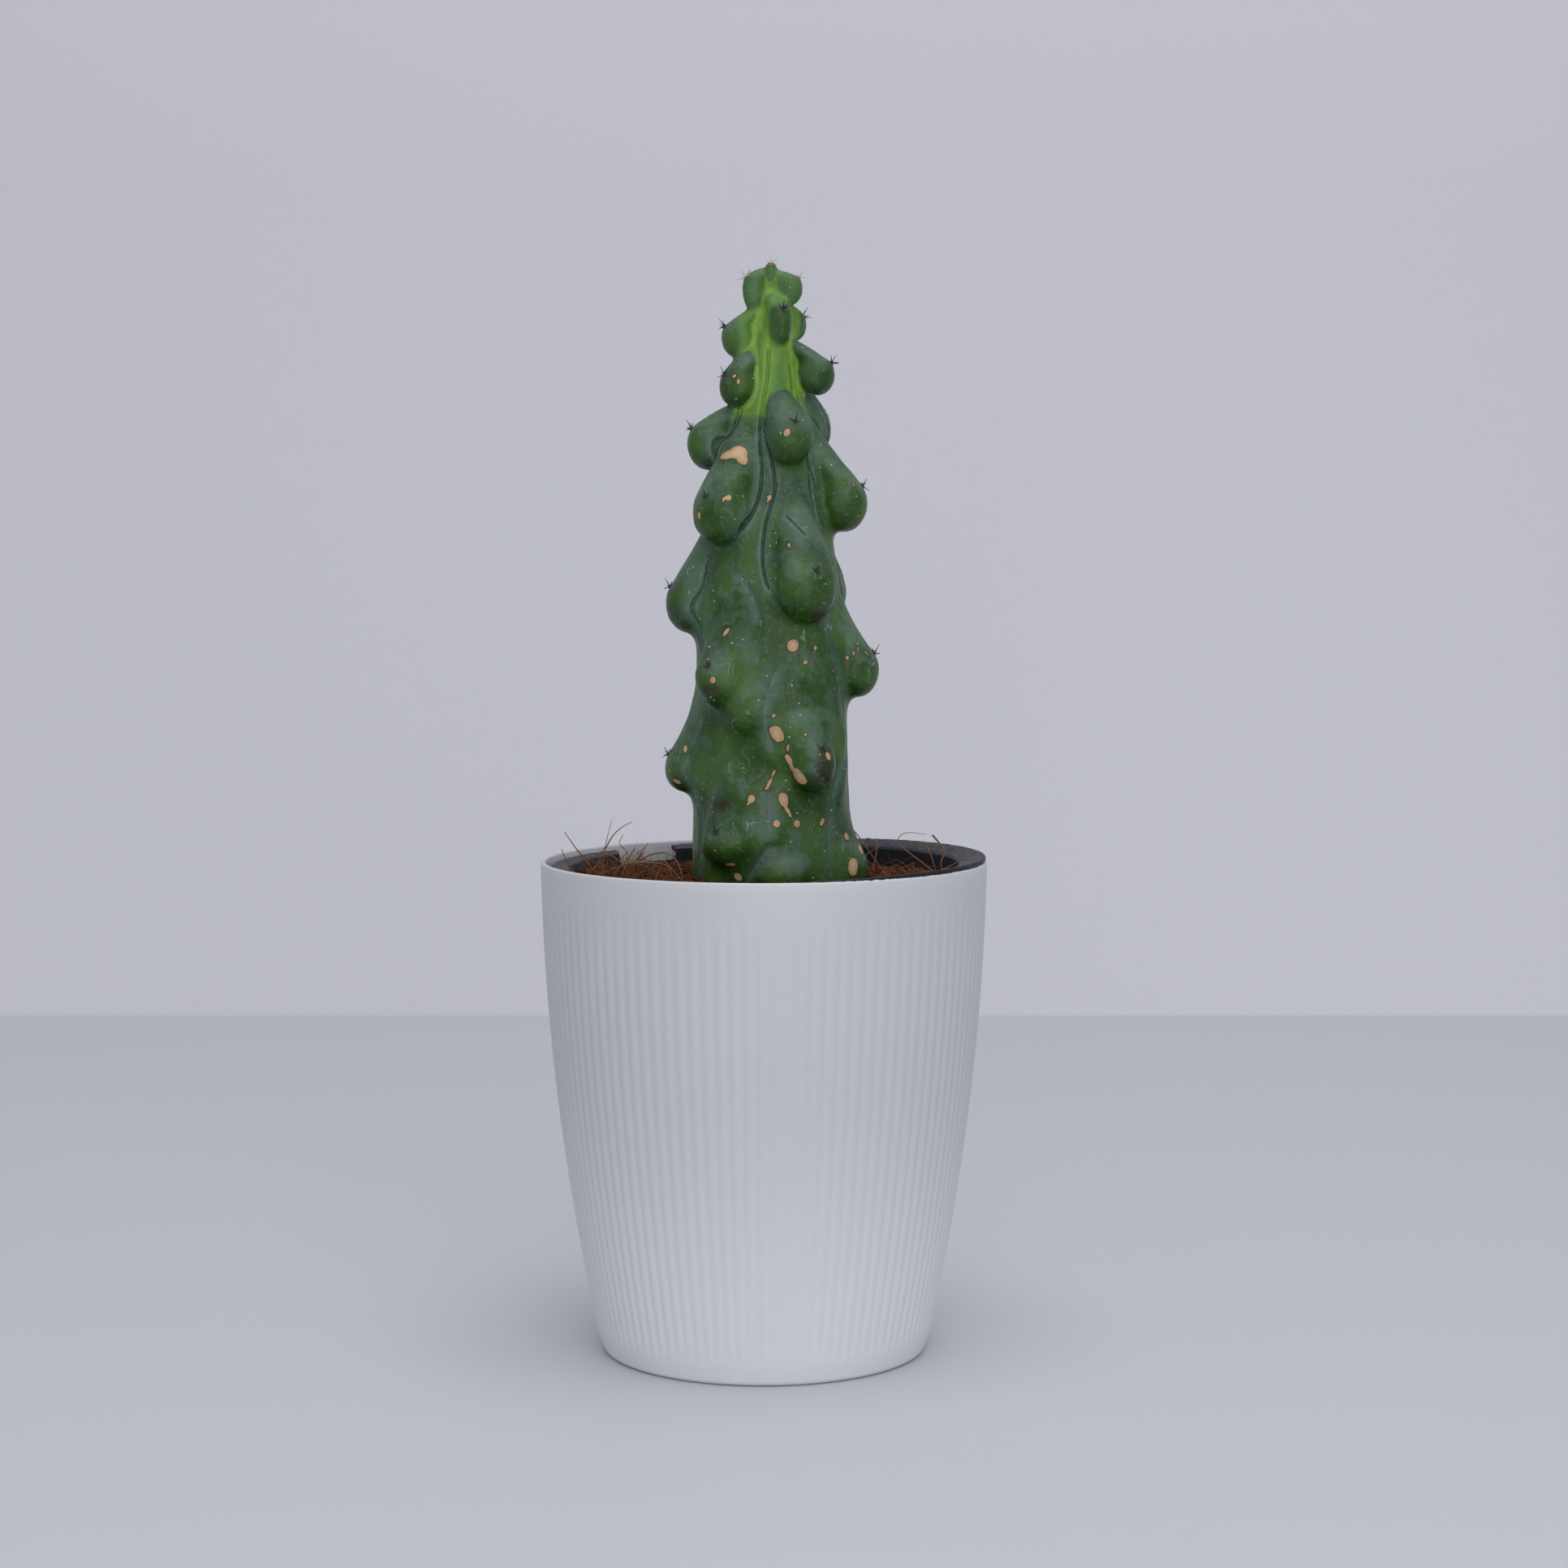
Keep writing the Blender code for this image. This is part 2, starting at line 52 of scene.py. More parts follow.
def deselectAll():
    if bpy.context.mode != "OBJECT":
        bpy.ops.object.mode_set(mode="OBJECT")
    bpy.ops.object.select_all(action="DESELECT")


def pick(*pieces):
    deselectAll()
    for piece in pieces:
        piece.select_set(True)
    bpy.context.view_layer.objects.active = pieces[0]


def applyModifiers(piece):
    pick(piece)
    for modifier in list(piece.modifiers):
        bpy.ops.object.modifier_apply(modifier=modifier.name)


def settle(piece):
    pick(piece)
    bpy.ops.object.transform_apply(location=True, rotation=True, scale=True)


def readVectors(values, key):
    flat = np.empty(len(values) * 3, np.float32)
    values.foreach_get(key, flat)
    return flat.reshape(-1, 3).astype(np.float64)


def readPoints(piece):
    return readVectors(piece.data.vertices, "co")


def readNormals(piece):
    return readVectors(piece.data.vertex_normals, "vector")


def writePoints(piece, points):
    piece.data.vertices.foreach_set("co", points.astype(np.float32).ravel())
    piece.data.update()


def writeMask(piece, name, values):
    layer = piece.data.attributes.new(name, "FLOAT", "POINT")
    layer.data.foreach_set("value", values.astype(np.float32))


def smoothStep(low, high, values):
    share = np.clip((values - low) / (high - low), 0, 1)
    return share * share * (3 - 2 * share)


def lumps(points, size, seed, layers=5):
    # smooth random swellings about `size` across, between -1 and 1
    draw = np.random.default_rng(seed)
    total = np.zeros(len(points))
    for _ in range(layers):
        way = draw.normal(size=3)
        way /= np.linalg.norm(way)
        other = draw.normal(size=3)
        other /= np.linalg.norm(other)
        pitch = 2 * math.pi / size * draw.uniform(0.7, 1.4)
        total += np.sin(points @ way * pitch + draw.uniform(0, 6.3)) * np.sin(
            points @ other * pitch * 0.8 + draw.uniform(0, 6.3)
        )
    return total / layers


def newObject(name, data):
    made = bpy.data.objects.new(name, data)
    bpy.context.scene.collection.objects.link(made)
    return made


def surfaceTree(piece):
    faces = [list(face.vertices) for face in piece.data.polygons]
    return BVHTree.FromPolygons([vertex.co for vertex in piece.data.vertices], faces)


def startEditing():
    bpy.ops.object.mode_set(mode="EDIT")
    bpy.ops.mesh.select_all(action="SELECT")


def endEditing():
    bpy.ops.mesh.select_all(action="SELECT")
    bpy.ops.mesh.normals_make_consistent(inside=False)
    bpy.ops.object.mode_set(mode="OBJECT")


def turnedPiece(name, profile, sides):
    # a ring drawn up its profile of (radius, height) by extruding, closed at both ends
    deselectAll()
    radius, height = profile[0]
    bpy.ops.mesh.primitive_circle_add(
        vertices=sides, radius=radius, fill_type="NGON", location=(0, 0, height)
    )
    piece = bpy.context.object
    piece.name = name
    settle(piece)
    startEditing()
    for nextRadius, nextHeight in profile[1:]:
        bpy.ops.mesh.extrude_region_move(
            TRANSFORM_OT_translate={"value": (0, 0, nextHeight - height)}
        )
        scale = nextRadius / radius
        bpy.ops.transform.resize(value=(scale, scale, 1), center_override=(0, 0, nextHeight))
        radius, height = nextRadius, nextHeight
    endEditing()
    return piece


def roundCoordinates(points):
    # azimuth from the front towards the right, and distance from the axis
    return np.arctan2(points[:, 0], -points[:, 1]), np.hypot(points[:, 0], points[:, 1])


# material building blocks

def put(tree, kind, sockets=None, **settings):
    made = tree.nodes.new("ShaderNode" + kind)
    for name, value in settings.items():
        setattr(made, name, value)
    for name, value in (sockets or {}).items():
        if isinstance(value, bpy.types.NodeSocket):
            tree.links.new(value, made.inputs[name])
        else:
            made.inputs[name].default_value = value
    return made


def toned(value):
    return value if isinstance(value, bpy.types.NodeSocket) else (*value, 1.0)


def mixed(tree, factor, first, second):
    made = put(tree, "Mix", {0: factor, 6: toned(first), 7: toned(second)}, data_type="RGBA")
    return made.outputs[2]


def maths(tree, operation, first, second=0.0, clamp=False):
    made = put(tree, "Math", {0: first, 1: second}, operation=operation, use_clamp=clamp)
    return made.outputs[0]


def times(tree, first, second):
    return maths(tree, "MULTIPLY", first, second)


def plus(tree, first, second):
    return maths(tree, "ADD", first, second)


def minus(tree, first, second, clamp=False):
    return maths(tree, "SUBTRACT", first, second, clamp)


def laid(tree, under, mask, strength, tone):
    # a tone laid over another where the mask says
    return mixed(tree, times(tree, mask, strength), under, tone)


def between(tree, value, low, high):
    sockets = {"Value": value, "From Min": low, "From Max": high}
    return put(tree, "MapRange", sockets, interpolation_type="SMOOTHSTEP").outputs["Result"]


def newGroup(name, inputs, outputs):
    group = bpy.data.node_groups.new(name, "ShaderNodeTree")
    for label, start in inputs.items():
        socket = group.interface.new_socket(name=label, in_out="INPUT", socket_type="NodeSocketFloat")
        socket.default_value = start
    for label in outputs:
        group.interface.new_socket(name=label, in_out="OUTPUT", socket_type="NodeSocketFloat")
    return group, group.nodes.new("NodeGroupInput"), group.nodes.new("NodeGroupOutput")


def speckleGroup():
    # scattered small spots: Pitch is the size of their cells in metres, Share how many cells hold one
    group, given, result = newGroup("speckle", {"Pitch": 0.004, "Share": 0.2, "Radius": 0.12}, ["Mask"])
    place = put(group, "TexCoord").outputs["Object"]
    scale = maths(group, "DIVIDE", 1.0, given.outputs["Pitch"])
    cells = put(group, "TexVoronoi", {"Vector": place, "Scale": scale}, feature="F1")
    ragged = put(group, "TexNoise", {"Vector": place, "Scale": 1400.0, "Detail": 2.0}).outputs["Fac"]
    spread = plus(group, cells.outputs["Distance"], times(group, ragged, 0.12))
    edge = plus(group, given.outputs["Radius"], 0.06)
    inside = maths(group, "LESS_THAN", spread, edge)
    chosen = put(group, "SeparateColor", {0: cells.outputs["Color"]}).outputs[0]
    kept = maths(group, "LESS_THAN", chosen, given.outputs["Share"])
    group.links.new(times(group, inside, kept), result.inputs["Mask"])
    return group


def mottleGroup():
    # cloudy variation in two sizes, 0 to 1
    group, given, result = newGroup("mottle", {"Coarse": 60.0, "Fine": 300.0}, ["Cloud", "Grain"])
    place = put(group, "TexCoord").outputs["Object"]
    coarse = put(group, "TexNoise", {"Vector": place, "Scale": given.outputs["Coarse"], "Detail": 3.0})
    fine = put(group, "TexNoise", {"Vector": place, "Scale": given.outputs["Fine"], "Detail": 4.0})
    group.links.new(coarse.outputs["Fac"], result.inputs["Cloud"])
    group.links.new(fine.outputs["Fac"], result.inputs["Grain"])
    return group


def scratchGroup():
    # short pale lines that run mostly up and down
    group, given, result = newGroup("scratch", {"Pitch": 0.01, "Width": 0.03}, ["Mask"])
    place = put(group, "TexCoord").outputs["Object"]
    scale = maths(group, "DIVIDE", 1.0, given.outputs["Pitch"])
    long = put(group, "Mapping", {"Vector": place, "Scale": (1.0, 1.0, 0.5)}).outputs[0]
    lines = put(group, "TexNoise", {"Vector": long, "Scale": scale, "Detail": 1.5, "Distortion": 0.6})
    fromMiddle = maths(group, "ABSOLUTE", minus(group, lines.outputs["Fac"], 0.5))
    line = maths(group, "LESS_THAN", fromMiddle, given.outputs["Width"])
    patches = put(group, "TexNoise", {"Vector": place, "Scale": 110.0, "Detail": 3.0}).outputs["Fac"]
    group.links.new(times(group, line, between(group, patches, 0.56, 0.6)), result.inputs["Mask"])
    return group


speckle = speckleGroup()
mottle = mottleGroup()
scratch = scratchGroup()


def placed(tree, group, **values):
    made = tree.nodes.new("ShaderNodeGroup")
    made.node_tree = group
    for name, value in values.items():
        made.inputs[name].default_value = value
    return made


def startMaterial(name, roughness, shine=0.5):
    made = bpy.data.materials.new(name)
    made.use_nodes = True
    shader = made.node_tree.nodes["Principled BSDF"]
    shader.inputs["Roughness"].default_value = roughness
    shader.inputs["Specular IOR Level"].default_value = shine
    return made, made.node_tree, shader


def bumpFrom(tree, shader, height, depth):
    bump = put(tree, "Bump", {"Height": height, "Distance": depth})
    tree.links.new(bump.outputs["Normal"], shader.inputs["Normal"])


def heightOf(tree):
    place = put(tree, "TexCoord").outputs["Object"]
    return put(tree, "SeparateXYZ", {0: place}).outputs["Z"]


def masked(tree, name):
    return put(tree, "Attribute", attribute_name=name, attribute_type="GEOMETRY").outputs["Fac"]


print("material groups ready")


# camera, lights, floor

stage = dict(
    distance=0.855, side=0.0054, height=0.2196, pitch=4.43, lens=73.2,
    wall=0.6, front=2.4, wide=6, tall=2.5, paintTop=0.38,
)


def setCamera():
    data = bpy.data.cameras.new("viewCamera")
    data.lens = stage["lens"]
    data.sensor_width = 36
    data.clip_start = 0.01
    camera = newObject("viewCamera", data)
    camera.location = (stage["side"], -stage["distance"], stage["height"])
    camera.rotation_euler = (math.radians(90 - stage["pitch"]), 0, 0)
    bpy.context.scene.camera = camera


def areaLight(name, place, target, size, watts, colour):
    data = bpy.data.lights.new(name, "AREA")
    data.shape = "SQUARE"
    data.size = size
    data.energy = watts
    data.color = colour
    light = newObject(name, data)
    light.location = place
    light.rotation_euler = (Vector(target) - Vector(place)).to_track_quat("-Z", "Y").to_euler()


def setStudio():
    areaLight("keyLight", (0.3, -1.7, 0.9), (0, 0, 0.12), 1.4, 7.6, (1.0, 0.985, 0.985))
    areaLight("topLight", (0.1, -0.3, 1.8), (0, 0, 0.1), 1.2, 12.0, (1.0, 0.985, 0.99))
    # stands in for the bright table in front of the pot
    areaLight("lowLight", (0.05, -0.62, 0.04), (0, 0, 0.05), 0.5, 0.75, (0.97, 0.985, 1.0))
    bpy.data.objects["lowLight"].visible_camera = False
    world = bpy.data.worlds.new("studioWorld")
    bpy.context.scene.world = world
    world.use_nodes = True
    background = world.node_tree.nodes["Background"].inputs
    background["Color"].default_value = (0.74, 0.745, 0.8, 1)
    background["Strength"].default_value = 0.6
    bpy.context.scene.view_settings.view_transform = "Standard"


def sheetPaint(name, low, high):
    # a plain matt tone that changes slowly with height; where the two tones differ, the change is painted
    # light
    made, tree, shader = startMaterial(name, 0.6)
    share = put(tree, "MapRange", {"Value": heightOf(tree), "From Max": stage["paintTop"]})
    tone = mixed(tree, share.outputs["Result"], low, high)
    tree.links.new(tone, shader.inputs["Base Color"])
    return made


def paleBackdrop():
    # a table top that runs back to a wall in one sheet
    deselectAll()
    bpy.ops.mesh.primitive_plane_add(size=1, location=(0, 0, 0))
    sheet = bpy.context.object
    sheet.name = "backdrop"
    sheet.scale = (stage["wide"], stage["wall"] + stage["front"], 1)
    sheet.location = (0, (stage["wall"] - stage["front"]) / 2, 0)
    settle(sheet)
    bpy.ops.object.mode_set(mode="EDIT")
    bpy.ops.mesh.select_all(action="DESELECT")
    bpy.ops.object.mode_set(mode="OBJECT")
    for edge in sheet.data.edges:
        ends = [sheet.data.vertices[i].co.y for i in edge.vertices]
        edge.select = min(ends) > stage["wall"] - 0.01
    bpy.ops.object.mode_set(mode="EDIT")
    bpy.ops.mesh.select_mode(type="EDGE")
    bpy.ops.mesh.extrude_region_move(TRANSFORM_OT_translate={"value": (0, 0, stage["tall"])})
    bpy.ops.object.mode_set(mode="OBJECT")
    tableTone = (0.565, 0.58, 0.605)
    sheet.data.materials.append(sheetPaint("tablePaint", tableTone, tableTone))
    # the wall is painted paler near the table and darker higher up: painted light
    sheet.data.materials.append(sheetPaint("wallPaint", (0.74, 0.745, 0.79), (0.655, 0.66, 0.705)))
    for face in sheet.data.polygons:
        face.material_index = int(abs(face.normal.y) > 0.5)


setCamera()
setStudio()
paleBackdrop()
print("camera, lights and backdrop set")


# outer pot

pot = dict(
    height=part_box("outer_pot")[1][2], rim=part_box("outer_pot")[1][0], base=44.0 * mm, straightness=0.13,
    lipWall=1.3 * mm, wall=1.8 * mm, floor=2.2 * mm, foot=2.0 * mm, levels=14,
    flutes=102, pointsPerFlute=6, fluteDepth=0.26 * mm, fluteTop=6.0 * mm, fluteFoot=7.0 * mm,
    fluteCurve=1.4, lipLumps=1.1 * mm, mostRagged=0.4,
    fade=3.5 * mm, fadeTop=14.0 * mm, ragged=0.25 * mm, paleTop=0.09,
)


def potRadius(height):
    down = 1 - height / pot["height"]
    share = pot["straightness"] * down + (1 - pot["straightness"]) * down**2
    return pot["rim"] - (pot["rim"] - pot["base"]) * share


def whitePlastic():
    made, tree, shader = startMaterial("whitePlastic", 0.42)
    clouds = placed(tree, mottle, Coarse=22.0, Fine=900.0)
    dirt = placed(tree, speckle, Pitch=0.011, Share=0.16, Radius=0.018)
    dust = placed(tree, speckle, Pitch=0.0042, Share=0.1, Radius=0.02)
    # paler towards the foot: not a known change in the plastic, it stands in for light off the table
    upper = mixed(tree, clouds.outputs["Cloud"], (0.552, 0.565, 0.595), (0.585, 0.597, 0.622))
    lower = mixed(tree, clouds.outputs["Cloud"], (0.725, 0.738, 0.755), (0.755, 0.765, 0.778))
    tone = mixed(tree, between(tree, heightOf(tree), pot["paleTop"], 0.0), upper, lower)
    tone = laid(tree, tone, dirt.outputs["Mask"], 0.75, (0.16, 0.12, 0.09))
    tone = laid(tree, tone, dust.outputs["Mask"], 0.35, (0.3, 0.27, 0.24))
    tree.links.new(tone, shader.inputs["Base Color"])
    rough = plus(tree, times(tree, clouds.outputs["Grain"], 0.12), 0.36)
    tree.links.new(rough, shader.inputs["Roughness"])
    bumpFrom(tree, shader, clouds.outputs["Grain"], 0.00004)
    return made


def outerPotShell():
    low = pot["fluteFoot"]
    high = pot["height"] - pot["fluteTop"]
    foot = pot["foot"]
    corner = [
        (potRadius(0) - foot + foot * math.sin(turn), foot - foot * math.cos(turn))
        for turn in map(math.radians, (18, 36, 54, 72, 90))
    ]
    heights = [low * 0.6, low, low + pot["fade"] / 2, low + pot["fade"]]
    start, rise = heights[-1], high - pot["fade"] - heights[-1]
    heights += [start + rise * i / pot["levels"] for i in range(1, pot["levels"] + 1)]
    heights += [high - pot["fade"] / 2, high, high + 2.5 * mm]
    profile = [(potRadius(0) - foot, 0.0)] + corner + [(potRadius(z), z) for z in heights]
    lip = pot["lipWall"] / 2
    crown = pot["height"] - lip
    rimMiddle = pot["rim"] - lip
    profile += [
        (rimMiddle + lip * math.cos(turn), crown + lip * math.sin(turn))
        for turn in map(math.radians, range(0, 181, 30))
    ]
    inner = (high, 0.6 * pot["height"], 0.3 * pot["height"], pot["floor"])
    profile += [(potRadius(z) - pot["wall"], z) for z in inner]
    profile += [(0.5 * pot["base"], pot["floor"]), (1 * mm, pot["floor"])]
    shell = turnedPiece("outerPotShell", profile, pot["flutes"] * pot["pointsPerFlute"])
    points = readPoints(shell)
    azimuth, radius = roundCoordinates(points)
    outside = radius > np.array([potRadius(z) for z in points[:, 2]]) - 0.5 * pot["wall"]
    strength = smoothStep(low - pot["fade"] / 2, low + pot["fade"], points[:, 2])
    strength *= 1 - smoothStep(high - pot["fadeTop"], high, points[:, 2])
    wave = 0.5 - 0.5 * np.cos(azimuth * pot["flutes"])
    depth = pot["fluteDepth"] * strength * wave ** pot["fluteCurve"] * outside
    # the lip is a little ragged where the moulding was trimmed
    onLip = smoothStep(crown - 0.2 * mm, pot["height"], points[:, 2])
    patchy = smoothStep(-0.2, 0.7, np.sin(2 * azimuth - 0.3))
    ragged = lumps(points * [1, 1, 0], pot["lipLumps"], 5, 3) * patchy
    points[:, 2] += onLip * pot["ragged"] * np.minimum(ragged, pot["mostRagged"])
    scale = (radius - depth) / np.maximum(radius, 1e-6)
    points[:, :2] *= scale[:, None]
    writePoints(shell, points)
    shell.data.shade_smooth()
    shell.data.set_sharp_from_angle(angle=math.radians(50))
    shell.data.materials.append(whitePlastic())
    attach(shell, "root")
    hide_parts("outer_pot")


outerPotShell()
print("outer pot done")


# liner pot

liner = dict(
    top=pot["height"] - 0.2 * mm, edge=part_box("liner_pot")[1][0] - 0.05 * mm, base=35.0 * mm,
    flange=5.6 * mm, fall=1.0 * mm, wall=1.2 * mm, floor=1.6 * mm, stand=22.0 * mm, sides=240,
    tilt=math.radians(0.73), overAzimuth=92, overRim=1.75, overRise=0.75,
    sunkAzimuth=-95, sunk=0.9, sunkDrop=0.45, rimLumps=1.4 * mm, rimRise=0.12 * mm,
    notchAzimuth=-141.5, notchTurn=-160.0, notchWidth=19.0 * mm, notchDepth=4.2 * mm,
    notchLong=28 * mm, notchIn=5 * mm, notchRound=1.6 * mm,
)


def blackPlastic():
    made, tree, shader = startMaterial("blackPlastic", 0.38, 0.22)
    clouds = placed(tree, mottle, Coarse=70.0, Fine=700.0)
    dust = placed(tree, speckle, Pitch=0.0026, Share=0.35, Radius=0.05)
    base = mixed(tree, clouds.outputs["Cloud"], (0.007, 0.008, 0.011), (0.018, 0.019, 0.025))
    dusty = laid(tree, base, dust.outputs["Mask"], 0.3, (0.16, 0.12, 0.09))
    tree.links.new(dusty, shader.inputs["Base Color"])
    tree.links.new(between(tree, clouds.outputs["Grain"], -0.6, 1.7), shader.inputs["Roughness"])
    bumpFrom(tree, shader, clouds.outputs["Grain"], 0.00006)
    return made


def notchBlock():
    deselectAll()
    azimuth = math.radians(liner["notchAzimuth"])
    middle = pot["rim"] - liner["notchIn"]
    bpy.ops.mesh.primitive_cube_add(size=1, location=(0, 0, 0))
    block = bpy.context.object
    block.scale = (liner["notchWidth"], liner["notchLong"], 2 * liner["notchDepth"])
    block.rotation_euler = (0, 0, math.radians(liner["notchTurn"]))
    block.location = (middle * math.sin(azimuth), -middle * math.cos(azimuth), liner["top"])
    settle(block)
    rounding = block.modifiers.new("rounding", "BEVEL")
    rounding.width = liner["notchRound"]
    rounding.segments = 4
    applyModifiers(block)
    return block


def linerPotShell():
    edge = liner["edge"]
    neck = edge - liner["flange"] + liner["wall"]
    top = liner["top"]
    thick = liner["wall"]
    under = top - liner["fall"] - thick
    fall = liner["fall"]
    floor = liner["stand"] + liner["floor"]
    profile = [
        (liner["base"], liner["stand"]), (neck - 0.4 * mm, under - 8 * mm), (neck, under),
        (edge - 0.3 * mm, top - thick), (edge, top - 0.75 * thick), (edge, top - 0.25 * thick),
        (edge - 0.3 * mm, top), (edge - 1.2 * mm, top - 0.08 * mm),
        (neck - thick + 1 * mm, top - 0.85 * fall), (neck - thick + 0.3 * mm, top - 1.05 * fall),
        (neck - thick, top - 1.5 * fall), (neck - 1.3 * thick, under - 6 * mm),
        (liner["base"] - thick, floor), (1 * mm, floor),
    ]
    shell = turnedPiece("linerPotShell", profile, liner["sides"])
    block = notchBlock()
    cut = shell.modifiers.new("notch", "BOOLEAN")
    cut.operation = "DIFFERENCE"
    cut.object = block
    applyModifiers(shell)
    bpy.data.objects.remove(block)
    points = readPoints(shell)
    azimuth, radius = roundCoordinates(points)
    rimPart = smoothStep(top - 1.2 * mm, top - 0.2 * mm, points[:, 2]) * (radius > edge - 1.0 * mm)
    points[:, 2] += rimPart * liner["rimRise"] * lumps(points * [1, 1, 0], liner["rimLumps"], 9)
    onFlange = smoothStep(neck - 2 * mm, edge - 2 * mm, radius) * (points[:, 2] > top - 3 * mm)
    # it hangs over the pot on one side and sits down inside it on the other
    overRim = smoothStep(-0.05, 0.75, np.cos(azimuth - math.radians(liner["overAzimuth"])))
    sunk = smoothStep(-0.1, 0.8, np.cos(azimuth - math.radians(liner["sunkAzimuth"])))
    outwards = overRim * liner["overRim"] - sunk * liner["sunk"]
    points[:, :2] *= (1 + onFlange * outwards * mm / np.maximum(radius, mm))[:, None]
    points[:, 2] += onFlange * (overRim * liner["overRise"] - sunk * liner["sunkDrop"]) * mm
    points[:, 0] += (points[:, 2] - top) * -math.sin(liner["tilt"])
    points[:, 2] += points[:, 0] * math.sin(liner["tilt"])
    writePoints(shell, points)
    shell.data.shade_smooth()
    shell.data.set_sharp_from_angle(angle=math.radians(35))
    shell.data.materials.append(blackPlastic())
    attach(shell, "root")
    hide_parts("liner_pot")


linerPotShell()
print("liner pot done")


# plant: the skin

plant = dict(
    offset=1.9 * mm, top=pot["height"] + 159.4 * mm, soil=pot["height"] - 5.4 * mm, girth=42.6 * mm,
    footDepth=30.0 * mm, voxel=0.635 * mm, areoleLift=math.radians(40), levels=60, sides=64,
    ringPoints=26, ballRings=11, ridgeRings=12, meltRounds=6, fillRounds=140,
    softenRounds=5, fillStep=0.6, freshNormals=3, meltFrom=40 * mm, meltTo=95 * mm,
    ballDeep=0.42, ballDeepest=0.82, ballBack=1.2, ballTaper=0.22, ridgeBack=0.35, ridgeEnd=0.22,
    coreDown=(
        0, 0.027, 0.06, 0.085, 0.126, 0.178, 0.233, 0.288, 0.333, 0.39, 0.433, 0.518, 0.597, 0.7, 0.85, 1,
    ),
    coreWidth=(
        0.02, 0.055, 0.095, 0.22, 0.3, 0.37, 0.455, 0.57, 0.665, 0.725, 0.765, 0.86, 0.93, 0.95, 0.98, 1,
    ),
)

# each swelling: azimuth in degrees, then in mm the areole's depth under the top, reach, hang, half width
# and climb of its ridge, then how hollow the ridge runs up and how far the swelling melts into the stem
# on its left and on its right
ribs = dict(
    frontRight=(
        (2, 0.5, 3.6, 6, 1.5, 0.5, 1, 0, 0), (20, 12.5, 10.6, 10.2, 3.5, 6, 1, 0.1, 0.1),
        (19, 42.3, 21, 11.5, 6.4, 8.5, 0.8, 0.1, 0.15),
        (27, 81.3, 27.8, 13.6, 8.2, 26, 1.2, 0.2, 0.3),
        (29, 127.8, 29, 11.6, 6.2, 28, 1.9, 0.2, 0.15),
    ),
    frontLeft=(
        (-64, 4, 8.3, 9.4, 2.6, 2.2, 0.7, 0, 0), (-60, 29.6, 15, 8.9, 5.3, 7, 0.8, 0.1, 0.1),
        (-45, 61.7, 25.4, 12.8, 8.2, 20, 1, 0.15, 0.15),
        (-37, 105.9, 28, 11.4, 7.2, 26, 1.7, 0.1, 0.9),
        (-33, 149.6, 27.2, 9.8, 6.8, 26, 1.8, 0.1, 0.5),
    ),
    left=(
        (-78, 16.8, 13.4, 8.7, 4.6, 6, 0.8, 0.1, 0.1),
        (-88, 43.6, 22.4, 11.4, 6.4, 6.5, 0.75, 0.2, 0.2),
        (-88, 85.6, 28.2, 12.9, 7.8, 20, 1.1, 0.6, 0.6),
        (-88, 130.4, 28.6, 10.6, 7.8, 24, 2.2, 0.8, 0.8),
    ),
    right=(
        (64, 4.2, 9.3, 7.6, 3, 2.4, 0.75, 0, 0), (78, 26.4, 17.3, 8.9, 5.4, 6, 0.9, 0.1, 0.15),
        (83, 58.9, 25.9, 12.6, 7.8, 20, 1.2, 0.35, 0.4),
        (88, 103.5, 29, 12.2, 8.4, 28, 2.1, 0.7, 0.7),
    ),
    backRight=(
        (118, 13.6, 10.3, 7.2, 3.7, 5, 0.8, 0.1, 0.1), (132, 40, 19.6, 11.2, 6.2, 13, 1, 0.2, 0.2),
        (140, 83, 27.2, 13.2, 8, 22, 1.3, 0.3, 0.3), (146, 129, 28, 11.2, 8.2, 28, 2.1, 0.6, 0.4),
    ),
    backLeft=(
        (-118, 2.6, 6.4, 7, 2.6, 1.6, 0.8, 0, 0), (-140, 28.5, 15, 9.2, 5.2, 7, 0.8, 0.1, 0.1),
        (-146, 60.5, 24.6, 12.6, 7.8, 20, 1.1, 0.25, 0.25),
        (-150, 105, 28, 12, 8.4, 26, 1.9, 0.5, 0.4), (-152, 149, 27.6, 9.2, 8.4, 26, 2.1, 0.5, 0.6),
    ),
)

# broad shoulders with no areole, which fill the stem out between the low swellings
shoulders = (
    (-14, 112, 24.6, 15, 9, 28, 1.6, 1, 1), (-10, 148, 25, 12, 9, 26, 1.6, 1, 1),
    (24, 118, 25.2, 14, 9.6, 30, 1.5, 0.8, 0.8), (4, 120, 22.8, 20, 8, 28, 1.6, 1, 1),
    (7, 157.6, 26.2, 9, 7, 6, 1, 0.35, 0.4), (58, 116, 23, 40, 8, 30, 1.5, 1, 1),
    (-66, 118, 22.6, 40, 8, 28, 1.5, 1, 1),
)


# where the stem spreads at the soil: azimuth in degrees, half width in radians, size in mm
flares = ((8, 0.42, 2.2), (80, 0.4, 5.4), (-160, 0.5, 3.0))


def coreRadius(height):
    if height < plant["soil"]:
        depth = (plant["soil"] - height) / plant["footDepth"]
        return plant["girth"] / 2 * math.sqrt(max(0.0, 1 - 0.93 * depth**2.4))
    down = (plant["top"] - height) / (plant["top"] - plant["soil"])
    return plant["girth"] / 2 * float(np.interp(down, plant["coreDown"], plant["coreWidth"]))


